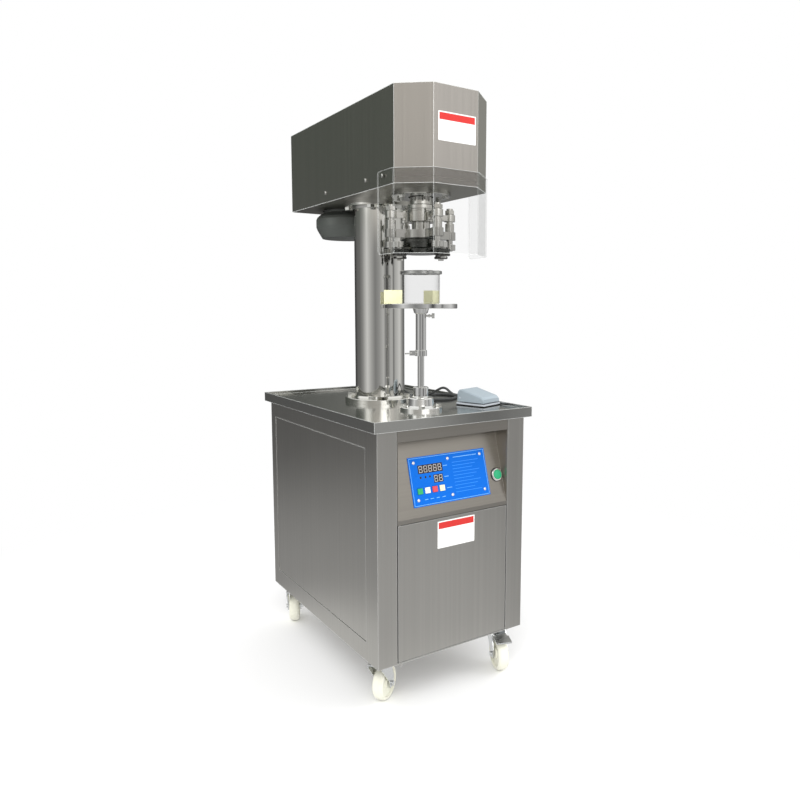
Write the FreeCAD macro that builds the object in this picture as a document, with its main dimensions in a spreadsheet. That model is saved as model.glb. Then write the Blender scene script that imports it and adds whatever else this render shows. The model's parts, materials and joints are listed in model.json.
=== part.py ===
import FreeCAD, Part
import math
import os
import re
from types import SimpleNamespace

import Sketcher
from FreeCAD import Placement, Rotation, Vector

# Can seamer on a wheeled cabinet. The can stands still on a lift plate, and a driven head carries
# four seaming rollers round it. Millimetres, +Z up, the front towards -Y, the ground at zero.
os.makedirs("parts", exist_ok=True)
doc = FreeCAD.newDocument("CanSeamer")

# Driving dimensions. Heights are above the ground, and angles are in degrees.
DIMENSIONS = {
    # worktop tray
    "table_width": 400,
    "table_depth": 577,
    "table_top": 612,
    "rim_height": 22,
    "lip_height": 7,
    "lip_width": 3,
    "tray_sheet": 2,
    # cabinet
    "cabinet_width": 375,
    "cabinet_depth": 552,
    "caster_height": 105,
    "frame_sheet": 2,
    "post_width": 45,
    "side_post_front": 49,
    "side_post_back": 28,
    "top_band": 38,
    "bottom_band": 40,
    "crossbar_width": 30,
    "crossbar_height": 26,
    "crossbar_spread": 60,
    "sill_height": 14,
    "sill_setback": 22,
    "panel_gap": 1.5,
    "panel_sheet": 1.5,
    "panel_lap": 10,
    "louvre_length": 90,
    "louvre_height": 5,
    "louvre_pitch": 14,
    # casters
    "caster_across": 157,
    "caster_along": 225,
    "caster_plate_length": 70,
    "caster_plate_width": 56,
    "caster_plate_sheet": 3,
    "king_pin": 6,
    "king_pin_head": 9,
    "fork_top": 92,
    "fork_sheet": 3,
    "fork_gap": 3,
    "fork_race": 20,
    "caster_trail": 25,
    "wheel_radius": 37.5,
    "wheel_width": 24,
    "axle_radius": 5,
    "brake_reach": 46,
    "brake_width": 28,
    "brake_pin": 3,
    "brake_pin_x": 14,
    "brake_pin_z": 83.5,
    "running_gap": 0.06,
    # console and door
    "seam_gap": 1,
    "console_low": 396.5,
    "console_bottom": 405,
    "console_top": 565,
    "console_slope": 45.4,
    "console_room": 51,
    "console_sheet": 1.5,
    "slope_angle": 15.84,
    "membrane_width": 198,
    "membrane_height": 102,
    "membrane_sheet": 1.2,
    "membrane_low": 20.5,
    "membrane_shift": 0.5,
    "key_size": 12,
    "key_play": 0.2,
    "key_pitch": 18.4,
    "key_first": -79,
    "key_up": 31.2,
    "key_proud": 1.8,
    "display_recess": 0.5,
    "button_across": 125,
    "button_up": 60.3,
    "bezel_radius": 14.5,
    "barrel_radius": 12.4,
    "button_radius": 10.6,
    "door_gap": 2.5,
    "door_depth": 18,
    "door_sheet": 1.5,
    "hinge_inset": 7,
    "hinge_back": 5.5,
    "hinge_pin": 3,
    # column
    "column_y": 36,
    "column_radius": 59.5,
    "column_wall": 3,
    "column_foot": 85,
    "column_cap": 82,
    "flange_height": 11,
    "bolt_circle": 73,
    "bolt_first": 45,
    "post_bolts": 40,
    "post_bolt_first": 60,
    "motor_bolts": 67,
    "bolt_radius": 5,
    "bolt_head": 9.8,
    "bolt_head_height": 7,
    "small_bolt_radius": 4,
    "small_bolt_head": 7.5,
    "small_bolt_height": 5.5,
    "bolt_play": 0.25,
    # head casing and guard
    "head_bottom": 1074,
    "head_top": 1264,
    "head_half": 115.2,
    "head_back": 284,
    "head_side_end": -223.5,
    "head_front": -273,
    "head_front_half": 54.5,
    "head_side_turn": 50.8,
    "head_front_turn": 39.2,
    "casing_sheet": 1.5,
    "base_plate_height": 12,
    "guard_sheet": 3,
    "guard_bottom": 938,
    "guard_top": 1104,
    "guard_back": -163,
    # seaming head
    "head_axis_y": -145,
    "housing_flange": 64,
    "housing_radius": 40,
    "housing_bolts": 54,
    "bearing_outer": 31,
    "bearing_width": 14,
    "lower_bearing": 1084,
    "upper_bearing": 1128,
    "spindle_radius": 17.5,
    "spindle_bore": 12.5,
    "shaft_radius": 9,
    "carrier_bottom": 978,
    "carrier_height": 17,
    "pivot_radius": 7,
    "pivot_reach": 72,
    "lobe_radius": 13,
    "carrier_angle": -5,
    "arm_reach": 22.5,
    "arm_angle": 116.9,
    "lever_angle": 63.1,
    "lever_reach": 30,
    "roller_radius": 15,
    "roller_bottom": 938.3,
    "roller_height": 14.6,
    "stud_radius": 4,
    "chuck_radius": 41,
    "chuck_bottom": 945.2,
    "chuck_body": 45,
    "bridge_reach": 70,
    "bridge_top": 1215,
    # drive
    "motor_y": 205,
    "motor_radius": 77,
    "motor_neck": 56,
    "motor_hole": 60,
    "motor_bottom": 1006,
    "pulley_bottom": 1156,
    "pulley_height": 24,
    "driven_radius": 55,
    "drive_radius": 32,
    "belt_thickness": 5,
    "belt_width": 16,
    "belt_gap": 0.35,
    # can lift
    "rod_radius": 7.25,
    "rod_bottom": 440,
    "rod_top": 752,
    "actuator_bottom": 396,
    "post_base_top": 655,
    "sleeve_radius": 11.5,
    "sleeve_bottom": 724,
    "sleeve_top": 818,
    "plate_top": 838,
    "plate_height": 10,
    "plate_radius": 80,
    "spigot_bottom": 805,
    "screw_height": 812,
    "screw_angle": -33,
    "block_inner": 42.2,
    "block_length": 40,
    "block_width": 22,
    "block_height": 30,
    "block_angle": 33.2,
    "can_radius": 41.5,
    "can_height": 71,
    "can_flange": 46,
    "can_wall": 1,
    # foot switch and its cable
    "pedal_x": 152,
    "pedal_y": -158,
    "pedal_angle": 17,
    "pedal_width": 70,
    "pedal_length": 78,
    "pedal_plate": 6,
    "treadle_width": 65,
    "treadle_wall": 2.5,
    "treadle_pin": 2.5,
    "treadle_pin_y": 30,
    "treadle_pin_z": 17,
    "relief_start": 34,
    "relief_length": 19,
    "relief_height": 16,
    "cable_radius": 3,
    "gland_angle": 75,
    "gland_height": 634,
    "gland_length": 26,
    "coil_x": 105,
    "coil_y": 190,
    "coil_outer": 42.5,
    "coil_inner": 29.5,
}
sheet = doc.addObject("Spreadsheet::Sheet", "Dims")
for row, (alias, value) in enumerate(DIMENSIONS.items(), start=1):
    sheet.set(f"A{row}", alias)
    sheet.set(f"B{row}", str(value))
    sheet.setAlias(f"B{row}", alias)
doc.recompute()
dim = SimpleNamespace(**DIMENSIONS)
nodes = {}

# Lengths that several pieces share, written with the names above.
FRAME_TOP = "(table_top - rim_height)"
TRAY = "(table_top - lip_height)"
TRAY_UNDERSIDE = "(table_top - lip_height - tray_sheet)"
FRONT = "(-cabinet_depth / 2)"
OPENING = "(cabinet_width - 2 * post_width)"
WINDOW_LOW = "(caster_height + bottom_band)"
WINDOW_HEIGHT = "(table_top - rim_height - top_band - caster_height - bottom_band)"
SIDE_WINDOW = "(cabinet_depth - side_post_front - side_post_back)"
SIDE_MIDDLE = "((side_post_front - side_post_back) / 2)"
ROOM_HEIGHT = f"({FRAME_TOP} - caster_height)"


def formula(text):
    """Point every dimension's name in a size at its spreadsheet cell."""
    return re.sub(r"[A-Za-z_]+", lambda word: f"Dims.{word[0]}" if word[0] in DIMENSIONS else word[0],
                  str(text))


def bind(thing, **sizes):
    """Bind properties of a feature to formulas."""
    for name, text in sizes.items():
        thing.setExpression(name, formula(text))
    return thing


def stand(thing, x, y, z):
    """Bind the place of a feature."""
    for axis, text in zip("xyz", (x, y, z)):
        thing.setExpression(f"Placement.Base.{axis}", formula(text))
    return thing


def box(length, width, height, x=0, y=0, z=0):
    """A block centred on x and y, standing on z."""
    block = bind(doc.addObject("Part::Box", "Block"), Length=length, Width=width, Height=height)
    return stand(block, f"({x}) - ({length}) / 2", f"({y}) - ({width}) / 2", z)


def rod(radius, height, x=0, y=0, z=0, along=Vector(0, 0, 1)):
    """A round bar that starts at x, y, z and runs along a direction."""
    bar = bind(doc.addObject("Part::Cylinder", "Rod"), Radius=radius, Height=height)
    bar.Placement = Placement(Vector(), Rotation(Vector(0, 0, 1), along))
    return stand(bar, x, y, z)


def hexagon(radius, height, x=0, y=0, z=0, along=Vector(0, 0, 1)):
    """A six-sided bar that starts at x, y, z, with its radius over the corners."""
    bar = bind(doc.addObject("Part::Prism", "Hexagon"), Circumradius=radius, Height=height)
    bar.Polygon = 6
    bar.Placement = Placement(Vector(), Rotation(Vector(0, 0, 1), along))
    return stand(bar, x, y, z)


def cone(low_radius, top_radius, height, x=0, y=0, z=0, along=Vector(0, 0, 1)):
    """A cut cone that starts at x, y, z."""
    taper = bind(doc.addObject("Part::Cone", "Cone"), Radius1=low_radius, Radius2=top_radius, Height=height)
    taper.Placement = Placement(Vector(), Rotation(Vector(0, 0, 1), along))
    return stand(taper, x, y, z)


def fuse(*pieces):
    """Pieces joined into one solid."""
    whole = doc.addObject("Part::MultiFuse", "Joined")
    whole.Shapes = list(pieces)
    return whole


def cut(piece, *tools):
    """A piece with the tools' shapes taken away."""
    result = doc.addObject("Part::Cut", "Cut")
    result.Base = piece
    result.Tool = tools[0] if len(tools) == 1 else fuse(*tools)
    return result


def group(*pieces):
    """Separate solids of one kind, kept together."""
    together = doc.addObject("Part::Compound", "Group")
    together.Links = list(pieces)
    return together


def placed(thing, placement):
    """A piece turned and moved as a whole, before it is joined or cut."""
    carried = group(thing)
    carried.Placement = placement
    return carried


def node(name, thing, placement=None):
    """Name a finished sub-part and put it in its place."""
    thing.Label = name
    if placement is not None:
        thing.Placement = placement
    nodes[name] = thing
    return thing


def around(count, first, reach):
    """Angles in degrees and x, y offsets of points spaced evenly on a circle."""
    for step in range(count):
        angle = first + 360 * step / count
        yield angle, reach * math.cos(math.radians(angle)), reach * math.sin(math.radians(angle))


class Shaped:
    """A PartDesign body that grows from sketches on its own origin planes."""

    def __init__(self):
        self.body = doc.addObject("PartDesign::Body", "Body")

    def origin(self, role):
        """One of the body's own planes or axes."""
        return next(item for item in self.body.Origin.OriginFeatures if item.Role == role)

    def _sketch(self, plane, offset):
        """An empty sketch on an origin plane, lifted off it by the offset."""
        sketch = self.body.newObject("Sketcher::SketchObject", "Sketch")
        sketch.AttachmentSupport = (self.origin(plane), "")
        sketch.MapMode = "FlatFace"
        sketch.setExpression("AttachmentOffset.Base.z", formula(offset))
        return sketch

    def outline(self, plane, corners, offset=0):
        """A closed outline of straight edges through corners given as formulas."""
        sketch = self._sketch(plane, offset)
        count = len(corners)
        turn = 2 * math.pi / count
        start = [Vector(100 * math.cos(turn * k), 100 * math.sin(turn * k), 0) for k in range(count)]
        for k in range(count):
            sketch.addGeometry(Part.LineSegment(start[k], start[(k + 1) % count]), False)
        for k in range(count):
            sketch.addConstraint(Sketcher.Constraint("Coincident", k, 2, (k + 1) % count, 1))
        for k, corner in enumerate(corners):
            for kind, text in zip(("DistanceX", "DistanceY"), corner):
                number = sketch.addConstraint(Sketcher.Constraint(kind, -1, 1, k, 1, 1.0))
                sketch.setExpression(f"Constraints[{number}]", formula(text))
        return sketch

    def circle(self, plane, radius, x=0, y=0, offset=0):
        """A sketch of one circle."""
        sketch = self._sketch(plane, offset)
        sketch.addGeometry(Part.Circle(Vector(1, 1, 0), Vector(0, 0, 1), 5), False)
        for kind, text in (("DistanceX", x), ("DistanceY", y)):
            number = sketch.addConstraint(Sketcher.Constraint(kind, -1, 1, 0, 3, 1.0))
            sketch.setExpression(f"Constraints[{number}]", formula(text))
        number = sketch.addConstraint(Sketcher.Constraint("Radius", 0, 5.0))
        sketch.setExpression(f"Constraints[{number}]", formula(radius))
        return sketch

    def _feature(self, kind, sketch, length, side, reverse):
        """A pad or pocket of a sketch."""
        feature = self.body.newObject(f"PartDesign::{kind}", kind)
        feature.Profile = sketch
        feature.SideType = side
        feature.Reversed = reverse
        return bind(feature, Length=length)

    def pad(self, sketch, length, side="One side", reverse=False):
        """Material added along the sketch's normal."""
        return self._feature("Pad", sketch, length, side, reverse)

    def pocket(self, sketch, length, side="One side", reverse=False):
        """Material taken away against the sketch's normal."""
        return self._feature("Pocket", sketch, length, side, reverse)

    def turned(self, corners):
        """A full turn of a radius and height outline about the vertical axis."""
        sketch = self.outline("XZ_Plane", corners)
        feature = self.body.newObject("PartDesign::Revolution", "Revolution")
        feature.Profile = sketch
        feature.ReferenceAxis = (sketch, ["V_Axis"])
        feature.Angle = 360
        return feature

    def polar(self, features, count):
        """The features repeated about the vertical axis."""
        pattern = self.body.newObject("PartDesign::PolarPattern", "PolarPattern")
        pattern.Originals = features
        pattern.Axis = (self.origin("Z_Axis"), [""])
        pattern.Angle = 360
        pattern.Occurrences = count
        self.body.Tip = pattern
        return pattern

    def soften(self, kind, size, wanted):
        """A fillet or chamfer on the edges for which the test holds."""
        doc.recompute()
        base = self.body.Tip
        edges = [f"Edge{k}" for k, edge in enumerate(base.Shape.Edges, start=1) if wanted(edge)]
        feature = self.body.newObject(f"PartDesign::{kind}", kind)
        feature.Base = (base, edges)
        return bind(feature, **{"Radius" if kind == "Fillet" else "Size": size})


def turned(corners):
    """A body turned from one outline."""
    shape = Shaped()
    shape.turned(corners)
    return shape.body


def upright(edge):
    """True for a straight edge that stands vertically."""
    ends = [vertex.Point for vertex in edge.Vertexes]
    return len(ends) == 2 and (ends[1] - ends[0]).cross(Vector(0, 0, 1)).Length < 0.01


def head_outline(inset, back=None):
    """Corners of the head's plan, pulled in by an inset, from the back right to the back left."""
    right = [
        (f"head_half - ({inset})", back or f"head_back - ({inset})"),
        (f"head_half - ({inset})", f"head_side_end + ({inset}) * tan(head_side_turn / 2 * 1deg)"),
        (f"head_front_half - ({inset}) * tan(head_front_turn / 2 * 1deg)", f"head_front + ({inset})"),
    ]
    return right + [(f"-({x})", y) for x, y in reversed(right)]


# Cabinet
def cabinet_frame():
    """Welded sheet frame: four corner posts, top and bottom bands, a floor pan and cross bars."""
    shell = box("cabinet_width", "cabinet_depth", ROOM_HEIGHT, 0, 0, "caster_height")
    inner_width = "(cabinet_width - 2 * frame_sheet)"
    inner_depth = "(cabinet_depth - 2 * frame_sheet)"
    room = box(inner_width, inner_depth, ROOM_HEIGHT, 0, 0, "caster_height + frame_sheet")
    sides = box("2 * cabinet_width", SIDE_WINDOW, WINDOW_HEIGHT, 0, SIDE_MIDDLE, WINDOW_LOW)
    rear = box(OPENING, "4 * frame_sheet", WINDOW_HEIGHT, 0, "cabinet_depth / 2", WINDOW_LOW)
    doorway = box(OPENING, "4 * frame_sheet", ROOM_HEIGHT, 0, FRONT, "caster_height + frame_sheet")
    pieces = [cut(shell, room, sides, rear, doorway)]
    pieces.append(box(OPENING, "frame_sheet", "sill_height", 0, f"{FRONT} + sill_setback",
                      "caster_height + frame_sheet / 2"))
    bar_bottom = f"{TRAY_UNDERSIDE} - crossbar_height"
    for side in (-1, 1):
        place = f"column_y + {side} * crossbar_spread"
        pieces.append(box(inner_width, "crossbar_width", "crossbar_height", 0, place, bar_bottom))
    for side in (-1, 1):
        for end in (-1, 1):
            x, y = f"{side} * caster_across", f"{end} * caster_along"
            plate_bottom = "caster_height - caster_plate_sheet"
            pin_bottom = "(fork_top - fork_sheet - 1)"
            pieces.append(box("caster_plate_width", "caster_plate_length", "caster_plate_sheet", x, y,
                              plate_bottom))
            pieces.append(rod("king_pin", f"caster_height - caster_plate_sheet - {pin_bottom}", x, y,
                              pin_bottom))
            pieces.append(rod("king_pin_head", "4", x, y, f"{pin_bottom} - 3.5"))
    hinge_x = f"(-{OPENING} / 2 + door_gap + hinge_inset)"
    hinge_y = f"({FRONT} + hinge_back)"
    ear = box("30", "14", "2", f"-{OPENING} / 2 + 6", f"{FRONT} + 9.5", "console_low + 1")
    web = box("6", "5", "10", f"-{OPENING} / 2 - 4", f"{FRONT} + 4.5", "console_low - 6")
    pieces += [ear, web]
    hinge_hole = rod("hinge_pin + running_gap", "console_low", hinge_x, hinge_y, "caster_height / 2")
    return cut(fuse(*pieces), hinge_hole, *bolt_holes(614, 617))


def filled_window(window, height, run_across):
    """A raised field that fills a window of the frame, with a lap behind the frame's sheet."""
    thick = "(frame_sheet - 1)"
    field_wide = f"{window} - 2 * panel_gap"
    lap_wide = f"{window} + 2 * panel_lap"
    sizes = ((field_wide, thick, f"{height} - 2 * panel_gap", f"-{thick} / 2", "panel_gap"),
             (lap_wide, "panel_sheet", f"{height} + 2 * panel_lap", "panel_sheet / 2", "-panel_lap"))
    if run_across:
        return fuse(*(box(wide, deep, tall, 0, back, up) for wide, deep, tall, back, up in sizes))
    return fuse(*(box(deep, wide, tall, back, 0, up) for wide, deep, tall, back, up in sizes))


def side_panels():
    """The left and right cover sheets, each with a raised field in the frame's window."""
    panels = []
    inner = dim.cabinet_width / 2 - dim.frame_sheet
    middle = (dim.side_post_front - dim.side_post_back) / 2
    low = dim.caster_height + dim.bottom_band
    for turn, x in ((0, -inner), (180, inner)):
        panel = filled_window(SIDE_WINDOW, WINDOW_HEIGHT, False)
        panel.Placement = Placement(Vector(x, middle, low), Rotation(Vector(0, 0, 1), turn))
        panels.append(panel)
    return group(*panels)


def back_panel():
    """The rear cover sheet, with two columns of louvre slots for the controls behind it."""
    panel = filled_window(OPENING, WINDOW_HEIGHT, True)
    slots = []
    for column in (-1, 1):
        for level in range(6):
            slots.append(box("louvre_length", "20", "louvre_height", f"{column} * 70", 0,
                             f"40 + {level} * louvre_pitch"))
    return cut(panel, *slots)


def bolt_places():
    """Where the bolts stand: kind, x, y, height of the clamped face, direction and grip."""
    tray = dim.table_top - dim.lip_height
    for _, x, y in around(4, dim.bolt_first, dim.bolt_circle):
        grip = dim.flange_height + dim.tray_sheet + 8
        yield "bolt", x, dim.column_y + y, tray + dim.flange_height, -1, grip
    for _, x, y in around(6, dim.bolt_first, dim.bolt_circle):
        yield "bolt", x, dim.column_y + y, dim.head_bottom - dim.flange_height, 1, dim.flange_height + 10
    for _, x, y in around(4, dim.post_bolt_first, dim.post_bolts):
        yield "small_bolt", x, dim.head_axis_y + y, tray + 7, -1, dim.tray_sheet + 13
    for _, x, y in around(6, 10, dim.housing_bolts):
        yield "small_bolt", x, dim.head_axis_y + y, dim.head_bottom - 8, 1, 16
    for _, x, y in around(4, 45, dim.motor_bolts):
        yield "small_bolt", x, dim.motor_y + y, dim.head_bottom + dim.base_plate_height + 8, -1, 18


def hex_bolts():
    """Hexagon bolts of the column's flanges, the post base, the spindle housing and the motor."""
    bolts = []
    for kind, x, y, z, way, grip in bolt_places():
        height = "bolt_head_height" if kind == "bolt" else "small_bolt_height"
        head = hexagon(f"{kind}_head", height, x, y, z, Vector(0, 0, -way))
        shank = rod(f"{kind}_radius", grip, x, y, z, Vector(0, 0, way))
        bolts.append(fuse(head, shank))
    return group(*bolts)


def bolt_holes(level_low, level_high):
    """Clearance holes for the bolts whose clamped face lies between two heights."""
    holes = []
    for kind, x, y, z, way, grip in bolt_places():
        if level_low < z < level_high:
            holes.append(rod(f"{kind}_radius + bolt_play", grip + 2, x, y, z + way * -1, Vector(0, 0, way)))
    return holes


def worktop():
    """Shallow tray with a raised lip and a deep folded rim that stands out over the cabinet."""
    low = FRAME_TOP
    blank = box("table_width", "table_depth", "rim_height", 0, 0, low)
    inner_width, inner_depth = "table_width - 2 * lip_width", "table_depth - 2 * lip_width"
    recess = box(inner_width, inner_depth, "lip_height + 1", 0, 0, TRAY)
    hollow = box(inner_width, inner_depth, "rim_height - lip_height - 2 * tray_sheet", 0, 0,
                 f"{low} + tray_sheet")
    mouth = box("cabinet_width - 2 * frame_sheet", "cabinet_depth - 2 * frame_sheet", "tray_sheet + 2", 0, 0,
                f"{low} - 1")
    rod_hole = rod("rod_radius + 1.5", "20", 0, "head_axis_y", f"{TRAY} - 10")
    return cut(blank, recess, hollow, mouth, rod_hole, *bolt_holes(600, 620))


def slope_placement(across, up, out):
    """A place on the console's sloping face: across, up the slope, and out from it."""
    tilt = Rotation(Vector(1, 0, 0), 90 - dim.slope_angle)
    foot = Vector(0, -dim.cabinet_depth / 2, dim.console_bottom)
    return Placement(foot + tilt.multVec(Vector(across, up, out)), tilt)


def console_fascia():
    """Folded front: an apron, a sloping face set back under it, and cheeks at both ends."""
    shape = Shaped()
    width = f"{OPENING} - 2 * seam_gap"
    back = f"{FRONT} + console_room"
    slope_top = f"{FRONT} + console_slope"
    inside = f"{FRONT} + console_sheet"
    block = [(FRONT, "console_low"), (FRONT, FRAME_TOP), (back, FRAME_TOP), (back, "console_low")]
    shape.pad(shape.outline("YZ_Plane", block), width, "Symmetric")
    recess = [(FRONT, "console_bottom"), (slope_top, "console_top"),
              (f"{FRONT} - 5", "console_top"), (f"{FRONT} - 5", "console_bottom")]
    shape.pocket(shape.outline("YZ_Plane", recess), f"{width} - 2 * console_sheet", "Symmetric")
    hollow = [(inside, "console_low - 1"), (inside, "console_bottom"),
              (f"{slope_top} + console_sheet", "console_top + console_sheet"),
              (inside, "console_top + console_sheet"), (inside, f"{FRAME_TOP} + 1"),
              (f"{back} + 5", f"{FRAME_TOP} + 1"), (f"{back} + 5", "console_low - 1")]
    shape.pocket(shape.outline("YZ_Plane", hollow), f"{width} - 2 * console_sheet", "Symmetric")
    wings = []
    for side in (-1, 1):
        middle = f"{side} * ({OPENING} / 2 + 5)"
        wings.append(box("14", "console_sheet", "180", middle, f"{FRONT} + frame_sheet + console_sheet / 2",
                         "console_low + 8"))
    button_hole = placed(rod("barrel_radius + 0.6", 40, "button_across", "button_up", -20),
                         slope_placement(0, 0, 0))
    window = box("3 * key_pitch + key_size + 5", "key_size + 5", 20,
                 "key_first + 1.5 * key_pitch", "membrane_low + key_up", -10)
    key_window = placed(window, slope_placement(0, 0, 0))
    ear_notch = box(34, 15.4, 5, f"-{OPENING} / 2 + 6", f"{FRONT} + 9.5", "console_low - 0.5")
    return cut(fuse(shape.body, *wings), button_hole, key_window, ear_notch)


def control_membrane():
    """Plate of the control panel, with shallow display windows and holes for the four keys."""
    plate = box("membrane_width", "membrane_height", "membrane_sheet", "membrane_shift",
                "membrane_height / 2", 0)
    cuts = []
    for number in range(4):
        x = f"key_first + {number} * key_pitch"
        cuts.append(box("key_size + 2 * key_play", "key_size + 2 * key_play", "10", x, "key_up", -5))
    glass = "membrane_sheet - display_recess"
    upper_window = box(62, 18, 5, -46.2, "membrane_height - 26.8", glass)
    lower_window = box(24, 17, 5, -29.2, "membrane_height - 49.5", glass)
    return cut(plate, upper_window, lower_window, *cuts)


def key_cap():
    """A square push key, with a flange behind the panel that keeps it in and a stem."""
    cap = box("key_size", "key_size", "membrane_sheet + key_proud + 0.1", 0, 0, -0.1)
    flange = box("key_size + 2", "key_size + 2", 1.2, 0, 0, -1.3)
    stem = box("key_size - 5", "key_size - 5", 6, 0, 0, -6)
    return fuse(cap, flange, stem)


def button_bezel():
    """Chromed ring of the push button, with its threaded barrel and lock nut behind the panel."""
    bore, barrel, nut = "(button_radius + running_gap)", "barrel_radius", "(barrel_radius + 1.9)"
    back = "-(console_sheet + 0.1)"
    return turned([(bore, -24), (barrel, -24), (barrel, f"{back} - 4"), (nut, f"{back} - 4"), (nut, back),
                   (barrel, back),
                   (barrel, 0), ("bezel_radius", 0), ("bezel_radius", 2.4), ("bezel_radius - 1.4", 4),
                   (bore, 4)])


def door_panel():
    """Folded front door, open at the back, on a pin at each end of its left edge."""
    height = "(console_low - 1.5 - caster_height - frame_sheet - 1.5)"
    bottom = "(caster_height + frame_sheet + 1.5)"
    width = f"({OPENING} - 2 * door_gap)"
    leaf = box(width, "door_depth", height, 0, f"{FRONT} + door_depth / 2", bottom)
    room = box(f"{width} - 2 * door_sheet", "door_depth", f"{height} - 2 * door_sheet", 0,
               f"{FRONT} + door_depth / 2 + door_sheet", f"{bottom} + door_sheet")
    hinge_x = f"-{OPENING} / 2 + door_gap + hinge_inset"
    hinge_y = f"{FRONT} + hinge_back"
    upper = rod("hinge_pin", "10", hinge_x, hinge_y, f"{bottom} + {height} - door_sheet")
    lower = rod("hinge_pin", "12", hinge_x, hinge_y, f"{bottom} + door_sheet - 12")
    knob = rod("2 * hinge_pin", "4", hinge_x, hinge_y, "caster_height - 4.5")
    return fuse(cut(leaf, room), upper, lower, knob)


# Casters
def caster_fork(braked):
    """Bent fork with its bearing race and the axle bolt across its feet."""
    shape = Shaped()
    inner = "(wheel_width + 2 * fork_gap)"
    side = [("-18", "fork_top"), ("20", "fork_top"), ("caster_trail + 11", "wheel_radius + 12"),
            ("caster_trail + 8", "wheel_radius - 8"), ("caster_trail - 8", "wheel_radius - 8"),
            ("caster_trail - 11", "wheel_radius + 8"), ("-18", "fork_top - 9")]
    shape.pad(shape.outline("XZ_Plane", side), f"{inner} + 2 * fork_sheet", "Symmetric")
    slot = [("-40", "0"), ("80", "0"), ("80", "fork_top - fork_sheet"), ("-40", "fork_top - fork_sheet")]
    shape.pocket(shape.outline("XZ_Plane", slot), inner, "Symmetric")
    race_top = "caster_height - caster_plate_sheet - 0.5"
    shape.pad(shape.circle("XY_Plane", "fork_race", offset="fork_top - 0.5"), f"{race_top} - fork_top + 0.5")
    shape.pad(shape.circle("XZ_Plane", "axle_radius", "caster_trail", "wheel_radius"),
              f"{inner} + 2 * fork_sheet + 8", "Symmetric")
    shape.pocket(shape.circle("XY_Plane", "king_pin + running_gap", offset=race_top), 20)
    if braked:
        pin_hole = shape.circle("XZ_Plane", "brake_pin + running_gap", "brake_pin_x", "brake_pin_z")
        shape.pocket(pin_hole, f"{inner} + 4 * fork_sheet", "Symmetric")
    return shape.body


def caster_wheel():
    """One-piece nylon wheel, crowned, with a recessed web on both faces."""
    half = "wheel_width / 2"
    right = [("wheel_radius", "4"), ("wheel_radius - 1", f"{half} - 3.5"), ("wheel_radius - 4", half),
             ("wheel_radius - 8", half), ("wheel_radius - 9.5", f"{half} - 4"), ("14", f"{half} - 4"),
             ("12.5", half),
             ("axle_radius + running_gap", half)]
    return turned([(r, f"-({z})") for r, z in reversed(right)] + right)


def brake_lever():
    """Foot lever of a braked caster, which turns on a pin through the fork."""
    shape = Shaped()
    side = [("10", "82.3"), ("32", "82.3"), ("14 + brake_reach", "75.5"), ("15 + brake_reach", "78"),
            ("33", "84.8"), ("10", "84.8")]
    shape.pad(shape.outline("XZ_Plane", side), "brake_width", "Symmetric")
    pin_length = "wheel_width + 2 * fork_gap + 2 * fork_sheet + 3"
    shape.pad(shape.circle("XZ_Plane", "brake_pin", "brake_pin_x", "brake_pin_z"), pin_length, "Symmetric")
    tread = [("38", "80.2"), ("15 + brake_reach", "75.5"), ("15 + brake_reach", "78"), ("38", "82.8")]
    shape.pad(shape.outline("XZ_Plane", tread), "brake_width + 8", "Symmetric")
    return shape.body


def caster(name, side, end, heading, braked):
    """One swivel caster: fork, wheel and, where braked, its lever, turned to its heading."""
    place = Placement(Vector(side * dim.caster_across, end * dim.caster_along, 0),
                      Rotation(Vector(0, 0, 1), heading))
    axle = Placement(Vector(dim.caster_trail, 0, dim.wheel_radius),
                     Rotation(Vector(0, 0, 1), Vector(0, 1, 0)))
    node(f"caster_fork_{name}", caster_fork(braked), place)
    node(f"caster_wheel_{name}", caster_wheel(), place.multiply(axle))
    if braked:
        node(f"brake_lever_{name}", brake_lever(), place)


# Column and head
def column():
    """Thick tube with a bolted flange at each end and a hole for the cable gland."""
    top, foot = "head_bottom", TRAY
    bore = "column_radius - column_wall"
    tube = turned([(bore, foot), ("column_foot", foot), ("column_foot", f"{foot} + flange_height - 1"),
                   ("column_foot - 1", f"{foot} + flange_height"),
                   ("column_radius + 4", f"{foot} + flange_height"),
                   ("column_radius", f"{foot} + flange_height + 4"),
                   ("column_radius", f"{top} - flange_height - 4"),
                   ("column_radius + 4", f"{top} - flange_height"), ("column_cap", f"{top} - flange_height"),
                   ("column_cap", top), (bore, top)])
    tube.Placement = Placement(Vector(0, dim.column_y, 0), Rotation())
    angle = math.radians(dim.gland_angle)
    along = Vector(math.cos(angle), math.sin(angle), 0)
    gland_hole = rod("8.2", "column_radius + 20", 0, "column_y", "gland_height", along)
    return cut(tube, gland_hole, *bolt_holes(600, 620), *bolt_holes(1060, 1064))


def head_base_plate():
    """Thick plate that closes the head from below and carries the spindle housing and the motor."""
    shape = Shaped()
    shape.pad(shape.outline("XY_Plane", head_outline("casing_sheet"), "head_bottom"), "base_plate_height")
    spindle_hole = rod("housing_radius + 0.2", "40", 0, "head_axis_y", "head_bottom - 10")
    motor_hole = rod("motor_hole", "40", 0, "motor_y", "head_bottom - 10")
    wire_hole = rod("30", "40", 0, "column_y", "head_bottom - 10")
    return cut(shape.body, spindle_hole, motor_hole, wire_hole, *bolt_holes(1060, 1100))


def head_casing():
    """Folded sheet hood with a three-sided nose, open below over its base plate."""
    shape = Shaped()
    shape.pad(shape.outline("XY_Plane", head_outline("0"), "head_bottom"), "head_top - head_bottom")
    shape.pocket(shape.outline("XY_Plane", head_outline("casing_sheet"), "head_top - casing_sheet"),
                 "head_top - head_bottom")
    return shape.body


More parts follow.
